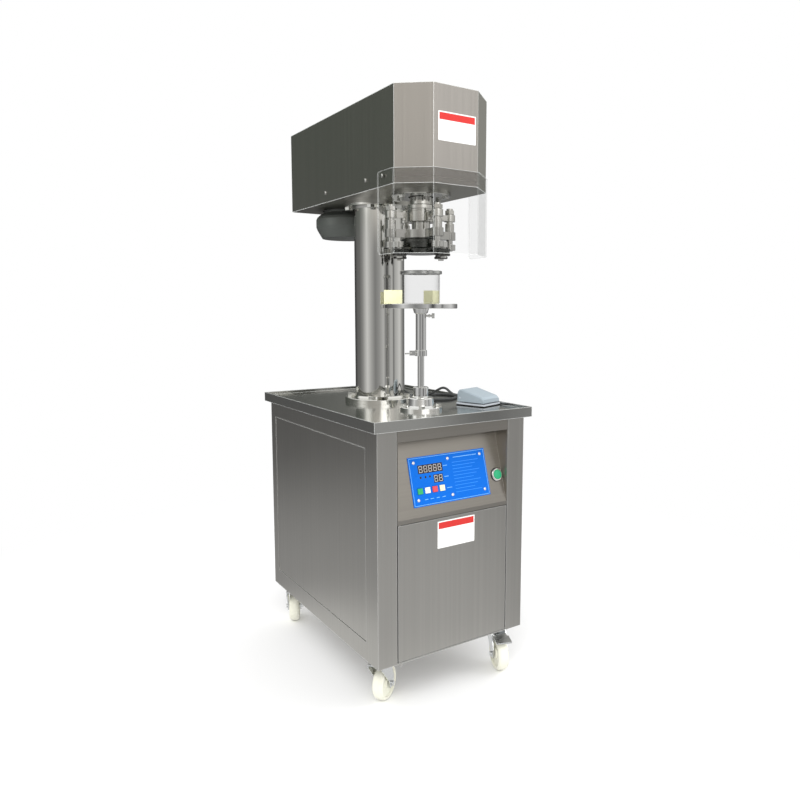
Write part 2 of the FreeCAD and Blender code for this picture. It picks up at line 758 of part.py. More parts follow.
def end_of_guard(edge):
    """True for the short level edges at the back ends of the guard's sides."""
    size = edge.BoundBox
    return size.YMin > dim.guard_back - 0.01 and size.ZLength < 0.01 and size.XLength < dim.guard_sheet + 0.01


def guard_shield():
    """Clear sheet bent round the nose of the head, with short sides that point back."""
    shape = Shaped()
    outer = head_outline("-guard_sheet", "guard_back")
    inner = head_outline("0", "guard_back")
    shape.pad(shape.outline("XY_Plane", outer + inner[::-1], "guard_bottom"), "guard_top - guard_bottom")
    shape.soften("Fillet", 8, end_of_guard)
    return shape.body


def motor():
    """Flange motor with a domed end cowl, which hangs through the base plate."""
    flange = "(head_bottom + base_plate_height)"
    shaft = "shaft_radius + running_gap"
    body = turned([("0", "motor_bottom"), ("motor_radius - 15", "motor_bottom"),
                   ("motor_radius - 3", "motor_bottom + 20"),
                   ("motor_radius", "motor_bottom + 28"), ("motor_radius", "motor_bottom + 46"),
                   ("motor_radius - 3", "motor_bottom + 52"), ("motor_radius - 12", "motor_bottom + 60"),
                   ("motor_neck", "motor_bottom + 63"), ("motor_neck", flange), ("motor_radius - 3", flange),
                   ("motor_radius - 3", f"{flange} + 8"), ("24", f"{flange} + 8"), ("22", f"{flange} + 14"),
                   (shaft, f"{flange} + 14"), (shaft, "motor_bottom + 50"), ("0", "motor_bottom + 50")])
    places = around(4, 45, dim.motor_bolts)
    holes = [rod("small_bolt_radius + bolt_play", 20, x, y, f"{flange} - 6") for _, x, y in places]
    return cut(body, *holes)


def spindle_housing():
    """Flanged barrel under the base plate that holds both spindle bearings."""
    mouth, seat = "spindle_radius + 10", "bearing_outer"
    top = "upper_bearing + bearing_width + 4"
    barrel = turned([(mouth, "head_bottom - 8"), ("housing_flange - 1.5", "head_bottom - 8"),
                     ("housing_flange", "head_bottom - 6.5"), ("housing_flange", "head_bottom"),
                     ("housing_radius", "head_bottom"), ("housing_radius", top), (seat, top),
                     (seat, "lower_bearing"), (mouth, "lower_bearing")])
    hole_bottom = "head_bottom - 10"
    places = around(6, 10, dim.housing_bolts)
    holes = [rod("small_bolt_radius + bolt_play", 12, x, y, hole_bottom) for _, x, y in places]
    return cut(barrel, *holes)


def spindle_bearings():
    """The two ball bearings of the spindle, as closed rings, and the ring that keeps them in."""
    cap = "(upper_bearing + bearing_width)"
    keeper = turned([("bearing_outer - 5", cap), ("bearing_outer", cap), ("bearing_outer", f"{cap} + 2"),
                     ("bearing_outer - 5", f"{cap} + 2")])
    keeper.Placement = HEAD
    rings = [keeper]
    for level in ("lower_bearing", "upper_bearing"):
        bore = "spindle_radius + running_gap"
        ring = turned([(bore, level), ("spindle_radius + 3.5", level), ("spindle_radius + 4", f"{level} + 1"),
                       ("bearing_outer - 4", f"{level} + 1"), ("bearing_outer - 3.5", level),
                       ("bearing_outer", level),
                       ("bearing_outer", f"{level} + bearing_width"), (bore, f"{level} + bearing_width")])
        ring.Placement = HEAD
        rings.append(ring)
    return group(*rings)


def centre_shaft():
    """Fixed shaft down the middle of the spindle, hung from a bridge that straddles the pulley."""
    bottom = "(chuck_bottom + 13)"
    shaft = rod("shaft_radius", f"bridge_top - {bottom}", 0, 0, bottom)
    span = box("2 * bridge_reach + 8", "30", "8", 0, 0, "bridge_top - 8")
    floor = "(head_bottom + base_plate_height)"
    pieces = [shaft, span]
    for side in (-1, 1):
        pieces.append(box("8", "30", f"bridge_top - {floor}", f"{side} * bridge_reach", 0, floor))
        pieces.append(box("26", "30", "6", f"{side} * (bridge_reach + 9)", 0, floor))
    return fuse(*pieces)


def seaming_chuck():
    """Chuck that enters the lid: a lip that fits its countersink, under a deep grooved body."""
    low = "chuck_bottom"
    return turned([("0", low), ("chuck_radius - 1", low), ("chuck_radius", f"{low} + 1.3"),
                   ("chuck_radius", f"{low} + 9"), ("chuck_body", f"{low} + 12"),
                   ("chuck_body", f"{low} + 20"),
                   ("chuck_body - 1", f"{low} + 20.6"), ("chuck_body - 1", f"{low} + 22.4"),
                   ("chuck_body", f"{low} + 23"), ("chuck_body", f"{low} + 29"),
                   ("chuck_body - 2", f"{low} + 31"),
                   ("shaft_radius", f"{low} + 31"), ("shaft_radius", f"{low} + 13"), ("0", f"{low} + 13")])


def seaming_rotor():
    """Hollow spindle with its drum, neck and the four-lobed carrier of the roller arms."""
    shape = Shaped()
    low, top = "carrier_bottom", "(carrier_bottom + carrier_height)"
    shape.turned([("spindle_bore", low), ("40", low), ("40", top), ("20", f"{top} + 2"),
                  ("20", f"{top} + 17"),
                  ("29.5", f"{top} + 17"), ("31", f"{top} + 18.5"), ("31", f"{top} + 40"),
                  ("30", f"{top} + 41"),
                  ("30", f"{top} + 44"), ("31", f"{top} + 45"), ("31", f"{top} + 52.5"),
                  ("29.5", f"{top} + 54"),
                  ("24", f"{top} + 54"), ("24", "head_bottom - 9"), ("22", "head_bottom - 9"),
                  ("22", "lower_bearing - 0.5"),
                  ("spindle_radius", "lower_bearing - 0.5"),
                  ("spindle_radius", "pulley_bottom + pulley_height + 2"),
                  ("spindle_bore", "pulley_bottom + pulley_height + 2")])
    lobe = [("30", "-lobe_radius + 2"), ("pivot_reach", "-lobe_radius + 2"),
            ("pivot_reach", "lobe_radius - 2"), ("30", "lobe_radius - 2")]
    bar = shape.pad(shape.outline("XY_Plane", lobe, low), "carrier_height")
    boss = shape.pad(shape.circle("XY_Plane", "lobe_radius", "pivot_reach", 0, low), "carrier_height")
    hole = shape.pocket(shape.circle("XY_Plane", "pivot_radius + running_gap", "pivot_reach", 0, top),
                        "carrier_height")
    shape.polar([bar, boss, hole], 4)
    return shape.body


def pulley(radius, bore, hub):
    """Flat-belt pulley with a flange at each side, a thin web and a hub."""
    low, high = "pulley_bottom", "(pulley_bottom + pulley_height)"
    web = f"{radius} - 7"
    return [(bore, f"{low} - 4"), (hub, f"{low} - 4"), (hub, f"{low} + 8"), (web, f"{low} + 8"), (web, low),
            (f"{radius} + 3", low), (f"{radius} + 3", f"{low} + 2"), (radius, f"{low} + 3"),
            (radius, f"{high} - 3"),
            (f"{radius} + 3", f"{high} - 2"), (f"{radius} + 3", high), (web, high), (web, f"{high} - 8"),
            (hub, f"{high} - 8"), (hub, high), (bore, high)]


def drive_pulley():
    """Motor shaft with the small pulley."""
    low, high = "pulley_bottom", "(pulley_bottom + pulley_height)"
    radius = "drive_radius"
    return turned([("0", "motor_bottom + 52"), ("shaft_radius", "motor_bottom + 52"),
                   ("shaft_radius", f"{low} - 4"),
                   ("16", f"{low} - 4"), ("16", low), (f"{radius} + 3", low), (f"{radius} + 3", f"{low} + 2"),
                   (radius, f"{low} + 3"), (radius, f"{high} - 3"), (f"{radius} + 3", f"{high} - 2"),
                   (f"{radius} + 3", high), ("0", high)])


def belt_loop(extra):
    """Closed line round both pulleys at a distance from their treads, as a flat face."""
    small, large = dim.drive_radius + extra, dim.driven_radius + extra
    run = dim.motor_y - dim.head_axis_y
    lean = math.asin((large - small) / run)
    front, back = Vector(0, dim.head_axis_y, 0), Vector(0, dim.motor_y, 0)
    right = Vector(math.cos(lean), math.sin(lean), 0)
    left = Vector(-right.x, right.y, 0)
    edges = [
        Part.LineSegment(front + right * large, back + right * small).toShape(),
        Part.Arc(back + right * small, back + Vector(0, small, 0), back + left * small).toShape(),
        Part.LineSegment(back + left * small, front + left * large).toShape(),
        Part.Arc(front + left * large, front - Vector(0, large, 0), front + right * large).toShape(),
    ]
    return Part.Face(Part.Wire(edges))


def drive_belt():
    """Flat belt that runs from the motor to the spindle, a little clear of both treads."""
    belt = doc.addObject("Part::Feature", "Belt")
    ring = belt_loop(dim.belt_gap + dim.belt_thickness).cut(belt_loop(dim.belt_gap))
    belt.Shape = ring.extrude(Vector(0, 0, dim.belt_width))
    belt.Placement = Placement(Vector(0, 0, dim.pulley_bottom + (dim.pulley_height - dim.belt_width) / 2),
                               Rotation())
    return belt


# Roller arms
def roller_arm():
    """Arm on its pivot shaft: lower lever with the roller stud, upper lever with the cam follower."""
    carrier_top = "(carrier_bottom + carrier_height)"
    roller_top = "(roller_bottom + roller_height)"
    shaft = rod("pivot_radius", "92", 0, 0, "carrier_bottom - 24")
    boss = rod("lobe_radius", "12", 0, 0, "carrier_bottom - 22")
    lever = box("arm_reach", "20", "12", "arm_reach / 2", 0, "carrier_bottom - 22")
    end = rod("10", "12", "arm_reach", 0, "carrier_bottom - 22")
    stud = rod("stud_radius", f"carrier_bottom - 22 - roller_bottom + 3", "arm_reach", 0, "roller_bottom - 3")
    washer = rod("stud_radius + 2.5", f"carrier_bottom - 22 - {roller_top} - 0.3", "arm_reach", 0,
                 f"{roller_top} + 0.3")
    head = hexagon("stud_radius + 3", "3.5", "arm_reach", 0, "roller_bottom - 3.8")
    collar = rod("10", "18", 0, 0, f"{carrier_top} + 0.5")
    nut = hexagon("11", "8", 0, 0, f"{carrier_top} + 39")
    upper_boss = rod("12", "14", 0, 0, f"{carrier_top} + 23")
    follower_arm = box("lever_reach", "14", "12", "lever_reach / 2", 0, f"{carrier_top} + 24")
    follower = rod("6", "18", "lever_reach", 0, f"{carrier_top} + 20")
    upper = fuse(follower_arm, follower)
    upper.Placement = Placement(Vector(), Rotation(Vector(0, 0, 1), dim.lever_angle))
    return fuse(shaft, boss, lever, end, stud, washer, head, collar, nut, upper_boss, upper)


def seaming_roller(groove):
    """Hardened roller with a seaming groove of the given depth."""
    low = "roller_bottom"
    return turned([("stud_radius + running_gap", low), ("roller_radius - 1", low),
                   ("roller_radius", f"{low} + 1"),
                   ("roller_radius", f"{low} + 4"), (f"roller_radius - {groove}", f"{low} + 6"),
                   (f"roller_radius - {groove}", f"{low} + 9.5"), ("roller_radius", f"{low} + 12"),
                   ("roller_radius", f"{low} + 13.6"), ("roller_radius - 1", f"{low} + roller_height"),
                   ("stud_radius + running_gap", f"{low} + roller_height")])


def roller_arms():
    """Four arms at right angles, in turn first and second operation, each with its roller."""
    grooves = {"first": 2.4, "second": 1.2}
    for number, (angle, x, y) in enumerate(around(4, dim.carrier_angle, dim.pivot_reach), start=1):
        operation = "first" if number % 2 else "second"
        place = Placement(Vector(x, dim.head_axis_y + y, 0), Rotation(Vector(0, 0, 1), angle + dim.arm_angle))
        stud = place.multVec(Vector(dim.arm_reach, 0, 0))
        node(f"{operation}_arm_{(number + 1) // 2}", roller_arm(), place)
        node(f"{operation}_roller_{(number + 1) // 2}", seaming_roller(grooves[operation]),
             Placement(stud, Rotation()))


# Can lift
def lift_actuator():
    """Electric lift under the worktop: guide tube, gearbox and a motor beside the tube."""
    low = "actuator_bottom"
    tube = turned([("0", f"{low} + 24"), ("24", f"{low} + 24"), ("24", f"{TRAY_UNDERSIDE} - 8"),
                   ("40", f"{TRAY_UNDERSIDE} - 8"),
                   ("40", TRAY_UNDERSIDE), ("rod_radius + running_gap", TRAY_UNDERSIDE),
                   ("rod_radius + running_gap", f"{TRAY_UNDERSIDE} - 30"),
                   ("rod_radius + 2", f"{TRAY_UNDERSIDE} - 30"),
                   ("rod_radius + 2", "rod_bottom - 8"), ("0", "rod_bottom - 8")])
    gearbox = box("96", "52", "24", 24, 0, low)
    drive = rod("20", "96", 50, 0, f"{low} + 24")
    return cut(fuse(tube, gearbox, drive), *bolt_tips())


def bolt_tips():
    """Room for the ends of the post base's bolts."""
    places = around(4, dim.post_bolt_first, dim.post_bolts)
    return [rod("small_bolt_radius + bolt_play", 14, x, y, f"{TRAY_UNDERSIDE} - 9") for _, x, y in places]


def post_base():
    """Stepped foot of the lift post on the worktop, bored for the rod."""
    low = TRAY
    foot = turned([("rod_radius + running_gap", low), ("48", low), ("48", f"{low} + 6"), ("47", f"{low} + 7"),
                   ("33", f"{low} + 7"),
                   ("31", f"{low} + 10"), ("29", f"{low} + 25"), ("27", f"{low} + 27"), ("19", f"{low} + 28"),
                   ("17", f"{low} + 30"),
                   ("17", "post_base_top - 1"), ("16", "post_base_top"),
                   ("rod_radius + running_gap", "post_base_top")])
    places = around(4, dim.post_bolt_first, dim.post_bolts)
    holes = [rod("small_bolt_radius + bolt_play", 20, x, y, f"{low} - 5") for _, x, y in places]
    return cut(foot, *holes)


def lift_sleeve():
    """Tube that slides on the rod, with a cone under the plate and a split clamp at its foot."""
    bore = "rod_radius + running_gap"
    tube = turned([(bore, "sleeve_bottom"), ("sleeve_radius + 2", "sleeve_bottom"),
                   ("sleeve_radius + 2", "sleeve_bottom + 12"),
                   ("sleeve_radius", "sleeve_bottom + 13"), ("sleeve_radius", "sleeve_top - 2"),
                   ("sleeve_radius + 2.5", "sleeve_top"),
                   (bore, "sleeve_top")])
    ears = []
    for side in (-1, 1):
        ears.append(box("14", "4", "10", -18, f"{side} * 4", "sleeve_bottom + 1"))
    clamp_screw = rod("2", "20", -21, -10, "sleeve_bottom + 6", Vector(0, 1, 0))
    lever = rod("1.5", "16", -21, -9, "sleeve_bottom + 6", Vector(-0.8, -0.6, 0))
    slit = box("14", "2.4", "16", -14, 0, "sleeve_bottom - 2")
    thread = rod("2.56", "20", 0, 0, "screw_height", Vector(1, 0, 0))
    clamped = fuse(cut(fuse(tube, *ears), slit, thread), clamp_screw, lever)
    return clamped


def lift_plate():
    """Round table for the can, with a boss and the spigot that drops into the sleeve."""
    low = "(plate_top - plate_height)"
    return turned([("0", "spigot_bottom"), ("rod_radius", "spigot_bottom"), ("rod_radius", "sleeve_top"),
                   ("15", "sleeve_top"), ("18", f"{low}"), ("plate_radius - 1", low),
                   ("plate_radius", f"{low} + 1"),
                   ("plate_radius", "plate_top - 1"), ("plate_radius - 1", "plate_top"), ("0", "plate_top")])


def locating_blocks():
    """Two nylon blocks, hollowed to the can's radius, that place it on the plate."""
    blocks = []
    hollow = rod("block_inner", "100", 0, 0, "plate_top - 20")
    for angle in (dim.block_angle, 180 - dim.block_angle):
        block = box("block_length", "block_width", "block_height", "block_inner + block_length / 2 - 2", 0,
                    "plate_top")
        aimed = Placement(Vector(), Rotation(Vector(0, 0, 1), angle))
        blocks.append(cut(placed(block, aimed), hollow))
    return group(*blocks)


def sample_can():
    """The can on the plate: a thin cup and a flanged lid with a countersunk panel."""
    low, high = "plate_top", "(plate_top + can_height)"
    cup = turned([("0", low), ("can_radius - 2", low), ("can_radius", f"{low} + 2"),
                  ("can_radius", f"{high} - 6.5"),
                  ("can_radius - can_wall", f"{high} - 6.5"), ("can_radius - can_wall", f"{low} + 2.5"),
                  ("can_radius - 2.5", f"{low} + 1.2"), ("0", f"{low} + 1.2")])
    lid = turned([("0", f"{high} - 5.7"), ("can_radius + 0.1", f"{high} - 5.7"),
                  ("can_radius + 0.1", f"{high} - 6.5"),
                  ("can_flange", f"{high} - 6.5"), ("can_flange", f"{high} - 1"), ("can_flange - 1", high),
                  ("can_flange - 3", high), ("chuck_radius + 0.6", f"{high} - 1.5"),
                  ("chuck_radius + 0.6", f"{high} - 4.5"),
                  ("0", f"{high} - 4.5")])
    return group(cup, lid)


def thumb_screw():
    """Clamping screw of the plate, with a small round knob."""
    stem = rod("2.5", "17.4", "rod_radius + 0.1", 0, "screw_height", Vector(1, 0, 0))
    collar = rod("3.6", "3", 17, 0, "screw_height", Vector(1, 0, 0))
    knob = rod("5.5", "6", 24, 0, "screw_height", Vector(1, 0, 0))
    return fuse(stem, collar, knob)


# Foot switch and cable
def pedal_base():
    """Base of the foot switch: a moulded tray with a groove for the treadle's skirt, lugs and the hinge pin."""
    shape = Shaped()
    x, y = "pedal_width / 2", "pedal_length / 2"
    corners = [(f"-{x}", f"-{y}"), (x, f"-{y}"), (x, y), (f"-{x}", y)]
    shape.pad(shape.outline("XY_Plane", corners), "pedal_plate")
    shape.soften("Fillet", "2.5", upright)
    groove = cut(box("67.2", "65.2", "10", 0, -4.6, 1.2), box("57.2", "60.8", "12", 0, -1.0, 0))
    block = box("44", "36", "10", 0, -2, "pedal_plate")
    boss = box("14", "relief_start - 14", "22 - pedal_plate", 0, "(relief_start + 14) / 2", "pedal_plate")
    lugs = [box(6, 6, 15, f"{side} * 24", "treadle_pin_y", "pedal_plate") for side in (-1, 1)]
    pin = rod("treadle_pin", "treadle_width", "-treadle_width / 2", "treadle_pin_y", "treadle_pin_z",
              Vector(1, 0, 0))
    return fuse(cut(shape.body, groove), block, boss, pin, *lugs)


def pedal_treadle():
    """Hollow treadle cap of the foot switch, high at the cable end, with a notch for the cable."""
    shape = Shaped()
    cap = [("-36", "8.3"), ("-36", "17"), ("-31", "22"), ("26", "37"), ("33", "35.5"), ("36.5", "31"),
           ("36.5", "8.3")]
    shape.pad(shape.outline("YZ_Plane", cap), "treadle_width", "Symmetric")
    shape.soften("Chamfer", "2.6", lambda edge: edge.BoundBox.XLength < 0.01 and edge.BoundBox.ZMin > 15.5)
    hollow = [("-36 + treadle_wall", "0"), ("-36 + treadle_wall", "15.5"), ("-29", "19.3"), ("26", "34"),
              ("31.5", "32.8"), ("36.5 - treadle_wall", "29"), ("36.5 - treadle_wall", "0")]
    shape.pocket(shape.outline("YZ_Plane", hollow), "treadle_width - 2 * treadle_wall", "Symmetric")
    notch = box("16", "10", "25", 0, 35.5, 0)
    pin_hole = rod("treadle_pin + running_gap", "90", -45, "treadle_pin_y", "treadle_pin_z", Vector(1, 0, 0))
    return cut(shape.body, notch, pin_hole)


def cable_glands():
    """Tapered strain relief at the foot switch and the screwed gland in the column."""
    relief = placed(cone(6, 4.4, "relief_length", 0, "relief_start", "relief_height", Vector(0, 1, 0)), PEDAL)
    angle = math.radians(dim.gland_angle)
    along = Vector(math.cos(angle), math.sin(angle), 0)

    def out(distance):
        """A place on the gland's line, at a distance from the column's axis."""
        return f"{along.x} * ({distance})", f"column_y + {along.y} * ({distance})", "gland_height"

    barrel = rod("8", "20", *out("column_radius - 8"), along)
    nut = hexagon("12.5", "7", *out("column_radius + 1"), along)
    dome = cone("10.5", "6", "gland_length - 8", *out("column_radius + 8"), along)
    return group(relief, fuse(barrel, nut, dome))


def cord_wire(points):
    """Straight runs joined by tangent arcs through a list of route points, with the radii used."""
    edges, radii = [], []
    here = points[0]
    for before, corner, after in zip(points, points[1:], points[2:]):
        back, ahead = (before - corner), (after - corner)
        turn = math.pi - back.getAngle(ahead)
        trim = 0.45 * min(back.Length, ahead.Length)
        radius = trim / math.tan(turn / 2)
        back.normalize()
        ahead.normalize()
        first, last = corner + back * trim, corner + ahead * trim
        middle = corner + (back + ahead).normalize() * (radius / math.cos(turn / 2) - radius)
        edges.append(Part.LineSegment(here, first).toShape())
        edges.append(Part.Arc(first, middle, last).toShape())
        radii.append(radius)
        here = last
    edges.append(Part.LineSegment(here, points[-1]).toShape())
    return Part.Wire(edges), radii


def cord_tube(name, points):
    """A round tube along a route, with its volume checked against section times length."""
    wire, radii = cord_wire([Vector(*point) for point in points])
    start = wire.Edges[0].Curve.Direction
    ring = Part.Wire(Part.Circle(Vector(*points[0]), start, dim.cable_radius).toShape())
    tube = doc.addObject("Part::Feature", "Cord")
    tube.Shape = wire.makePipeShell([ring], True, True)
    expected = math.pi * dim.cable_radius ** 2 * wire.Length
    share = tube.Shape.Volume / expected
    print(f"{name}: length {wire.Length:.1f}, smallest radius {min(radii):.1f}, volume ratio {share:.4f}")
    return tube


HEAD = Placement(Vector(0, dim.head_axis_y, 0), Rotation())
PEDAL = Placement(Vector(dim.pedal_x, dim.pedal_y, dim.table_top - dim.lip_height),
                  Rotation(Vector(0, 0, 1), dim.pedal_angle))

# Routes of the foot switch's cable: out of the switch in a standing hump, once round on the
# worktop and back to the coil behind the column, and from the coil up to the column's gland.
LYING = dim.table_top - dim.lip_height + dim.cable_radius + 0.15
LEAD_ROUTE = [
    (136.5, -107.32, 621.0), (131.97, -92.5, 621.0), (129.6, -76.6, 627.2), (129.6, -60.2, 635.0),
    (130.0, -43.4, 635.6), (128.4, -26.6, 628.6), (123.5, -9.6, 618.2), (121.5, 8.0, 610.6),
    (127.0, 25.0, LYING), (140.6, 37.5, LYING), (158.4, 41.0, LYING), (175.2, 35.6, LYING),
    (187.0, 22.2, LYING), (190.6, 4.4, LYING), (187.6, -14.4, LYING), (180.0, -31.6, LYING),
    (167.8, -46.0, LYING), (151.8, -56.4, LYING), (133.6, -60.0, LYING), (116.0, -56.0, LYING),
    (102.2, -44.6, LYING), (94.6, -28.2, LYING), (93.8, -10.0, LYING), (98.4, 9.4, LYING),
    (104.6, 30.0, LYING), (109.4, 51.6, LYING), (113.4, 74.0, LYING), (119.0, 96.6, LYING),
    (127.2, 118.0, LYING), (135.8, 138.4, LYING), (141.8, 158.8, LYING), (144.3, 179.0, LYING),
    (144.2, 194.0, LYING),
]
TAIL_ROUTE = [
    (22.1, 118.6, 634.0), (27.0, 137.0, 634.0), (34.0, 154.0, 626.5), (44.5, 168.5, 617.0),
    (55.5, 182.5, 610.0), (64.5, 198.0, LYING),
]


def build():
    """Make every sub-part."""
    node("cabinet_frame", cabinet_frame())
    node("side_panels", side_panels())
    node("back_panel", back_panel(),
         Placement(Vector(0, dim.cabinet_depth / 2 - dim.frame_sheet, dim.caster_height + dim.bottom_band),
                                               Rotation(Vector(0, 0, 1), 180)))
    node("worktop", worktop())
    node("console_fascia", console_fascia())
    node("control_membrane", control_membrane(), slope_placement(0, dim.membrane_low, 0))
    node("button_bezel", button_bezel(), slope_placement(dim.button_across, dim.button_up, 0))
    lens = turned([(0, -8), ("button_radius", -8), ("button_radius", 5), ("button_radius - 1.5", 6.4),
                   (0, 7)])
    node("green_button", lens, slope_placement(dim.button_across, dim.button_up, 0))
    for number, colour in enumerate(("green", "white", "red", "yellow")):
        across = dim.key_first + number * dim.key_pitch
        node(f"{colour}_key", key_cap(), slope_placement(across, dim.membrane_low + dim.key_up, 0))
    control_box = fuse(box("220", "62", "150", 0, 241.5, 405), box("226", "6", "156", 0, 210, 402))
    node("control_box", control_box)
    node("door_panel", door_panel())
    caster("front_left", -1, -1, 34, True)
    caster("front_right", 1, -1, -110, True)
    caster("rear_left", -1, 1, 63, False)
    caster("rear_right", 1, 1, 75, False)
    node("column", column())
    node("hex_bolts", hex_bolts())
    node("head_base_plate", head_base_plate())
    node("head_casing", head_casing())
    node("guard_shield", guard_shield())
    node("motor", motor(), Placement(Vector(0, dim.motor_y, 0), Rotation()))
    node("spindle_housing", spindle_housing(), HEAD)
    node("spindle_bearings", spindle_bearings())
    node("centre_shaft", centre_shaft(), HEAD)
    node("seaming_chuck", seaming_chuck(), HEAD)
    node("seaming_rotor", seaming_rotor(), Placement(Vector(0, dim.head_axis_y, 0),
                                                     Rotation(Vector(0, 0, 1), dim.carrier_angle)))
    node("driven_pulley", turned(pulley("driven_radius", "spindle_radius", "26")), HEAD)
    node("drive_pulley", drive_pulley(), Placement(Vector(0, dim.motor_y, 0), Rotation()))
    node("drive_belt", drive_belt())
    roller_arms()
    node("lift_actuator", lift_actuator(), HEAD)
    node("post_base", post_base(), HEAD)
    node("lift_rod", rod("rod_radius", "rod_top - rod_bottom", 0, "head_axis_y", "rod_bottom"))
    clamp_turn = Rotation(Vector(0, 0, 1), dim.screw_angle)
    node("lift_sleeve", lift_sleeve(), Placement(Vector(0, dim.head_axis_y, 0), clamp_turn))
    node("thumb_screw", thumb_screw(), Placement(Vector(0, dim.head_axis_y, 0), clamp_turn))
    node("lift_plate", lift_plate(), HEAD)
    node("locating_blocks", locating_blocks(), HEAD)
    node("sample_can", sample_can(), HEAD)
    node("pedal_base", pedal_base(), PEDAL)
    node("pedal_treadle", pedal_treadle(), PEDAL)
    node("cable_glands", cable_glands())
    node("cable_lead", cord_tube("cable_lead", LEAD_ROUTE))
    node("cable_tail", cord_tube("cable_tail", TAIL_ROUTE))
    node("cable_coil", cut(rod("coil_outer", "4 * cable_radius", "coil_x", "coil_y", TRAY),
                           rod("coil_inner", "40", "coil_x", "coil_y", f"{TRAY} - 10")))


def check_and_write():
    """Stop on a failed feature or an empty or broken shape, then write each sub-part."""
    doc.recompute()
    failed = [thing.Label for thing in doc.Objects if {"Invalid", "Error"} & set(thing.State)]
    failed += [name for name, thing in nodes.items() if thing.Shape.isNull() or not thing.Shape.isValid()]
    if failed:
        raise RuntimeError(f"these did not build: {failed}")
    for name, thing in nodes.items():
        thing.Shape.exportStep(f"parts/{name}.step")
    print(len(nodes), "sub-parts written")


build()
check_and_write()
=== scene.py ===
"""Looks of a can seamer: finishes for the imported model, its cable, plates, screws and displays.

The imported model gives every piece's place. Lengths are metres, +Z is up and the front faces -Y.
"""

import json
import logging
import math
from dataclasses import dataclass, field
from enum import Enum
from typing import Optional, Sequence

import bmesh
import bpy
from mathutils import Matrix, Vector

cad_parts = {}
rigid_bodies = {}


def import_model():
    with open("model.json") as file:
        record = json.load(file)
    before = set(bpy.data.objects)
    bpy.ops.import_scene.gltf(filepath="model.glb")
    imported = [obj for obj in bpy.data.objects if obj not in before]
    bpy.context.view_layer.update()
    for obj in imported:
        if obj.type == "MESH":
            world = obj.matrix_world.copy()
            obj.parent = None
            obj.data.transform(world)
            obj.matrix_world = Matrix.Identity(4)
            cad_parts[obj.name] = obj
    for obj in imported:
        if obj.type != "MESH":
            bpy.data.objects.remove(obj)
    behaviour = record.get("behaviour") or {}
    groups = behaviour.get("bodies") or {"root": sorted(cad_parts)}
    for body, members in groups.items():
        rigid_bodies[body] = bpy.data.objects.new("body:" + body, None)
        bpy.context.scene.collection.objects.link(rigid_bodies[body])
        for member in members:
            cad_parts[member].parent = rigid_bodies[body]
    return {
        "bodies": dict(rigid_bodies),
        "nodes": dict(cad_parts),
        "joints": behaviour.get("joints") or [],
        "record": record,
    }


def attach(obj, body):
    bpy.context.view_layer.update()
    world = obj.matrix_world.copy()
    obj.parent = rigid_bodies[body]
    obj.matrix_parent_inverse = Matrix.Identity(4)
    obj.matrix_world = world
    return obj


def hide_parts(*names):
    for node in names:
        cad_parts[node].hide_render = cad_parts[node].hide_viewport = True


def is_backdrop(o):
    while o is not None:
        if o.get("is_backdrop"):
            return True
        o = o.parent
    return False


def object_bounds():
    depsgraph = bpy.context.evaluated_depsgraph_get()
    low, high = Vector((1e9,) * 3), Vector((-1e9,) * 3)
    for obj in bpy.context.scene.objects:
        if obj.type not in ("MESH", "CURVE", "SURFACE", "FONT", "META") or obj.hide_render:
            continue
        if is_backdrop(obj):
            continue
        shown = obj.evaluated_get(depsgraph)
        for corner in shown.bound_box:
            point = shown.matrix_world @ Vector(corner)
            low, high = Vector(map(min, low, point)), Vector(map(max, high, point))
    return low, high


logging.basicConfig(level=logging.INFO, format="%(message)s")
log = logging.getLogger("can_seamer")

MM = 0.001


def linear(code: str) -> tuple[float, float, float]:
    """Turn an sRGB hex code into linear colour.

    Args:
        code: six hex digits, with or without a leading hash.

    Returns:
        The red, green and blue shares, linear, from 0 to 1.
    """
    digits = code.lstrip("#")
    shares = (int(digits[k:k + 2], 16) / 255 for k in (0, 2, 4))
    return tuple(s / 12.92 if s <= 0.04045 else ((s + 0.055) / 1.055) ** 2.4 for s in shares)


class Pattern(Enum):
    """How a finish varies over the surface."""

    PLAIN = "plain"
    BRUSHED = "brushed"
    TURNED = "turned"
    GRAIN = "grain"


@dataclass(frozen=True)
class Finish:
    """What a surface is made of and how it was finished.

    Attributes:
        name: the real material, in plain words.
        colour: sRGB hex code of the base colour.
        metallic: 1 for bare metal, 0 for anything else.
        roughness: mean roughness.
        pattern: how the surface varies.
        grain: size across the pattern's lines or grains, in metres.
        length: length of the pattern's lines, in metres.
        along: the row axis that brushing lines follow, 0 for X, 1 for Y and 2 for Z.
        depth: height of the pattern, in metres.
        variation: share by which the base colour varies.
        wear: how far smudges change the roughness.
        edge: radius that a sharp edge appears to have, in metres.
        ior: index of refraction.
        coat: strength of a clear coat.
        alpha: how much of the surface covers what lies behind it.
        edge_highlight: how strongly a sheet's edges and bends show as pale lines, a painted highlight.
    """

    name: str
    colour: str
    metallic: float = 0.0
    roughness: float = 0.4
    pattern: Pattern = Pattern.PLAIN
    grain: float = 0.6 * MM
    length: float = 80 * MM
    along: int = 2
    depth: float = 0.0
    variation: float = 0.0
    wear: float = 0.0
    edge: float = 0.6 * MM
    ior: float = 1.5
    coat: float = 0.0
    alpha: float = 1.0
    edge_highlight: float = 0.0


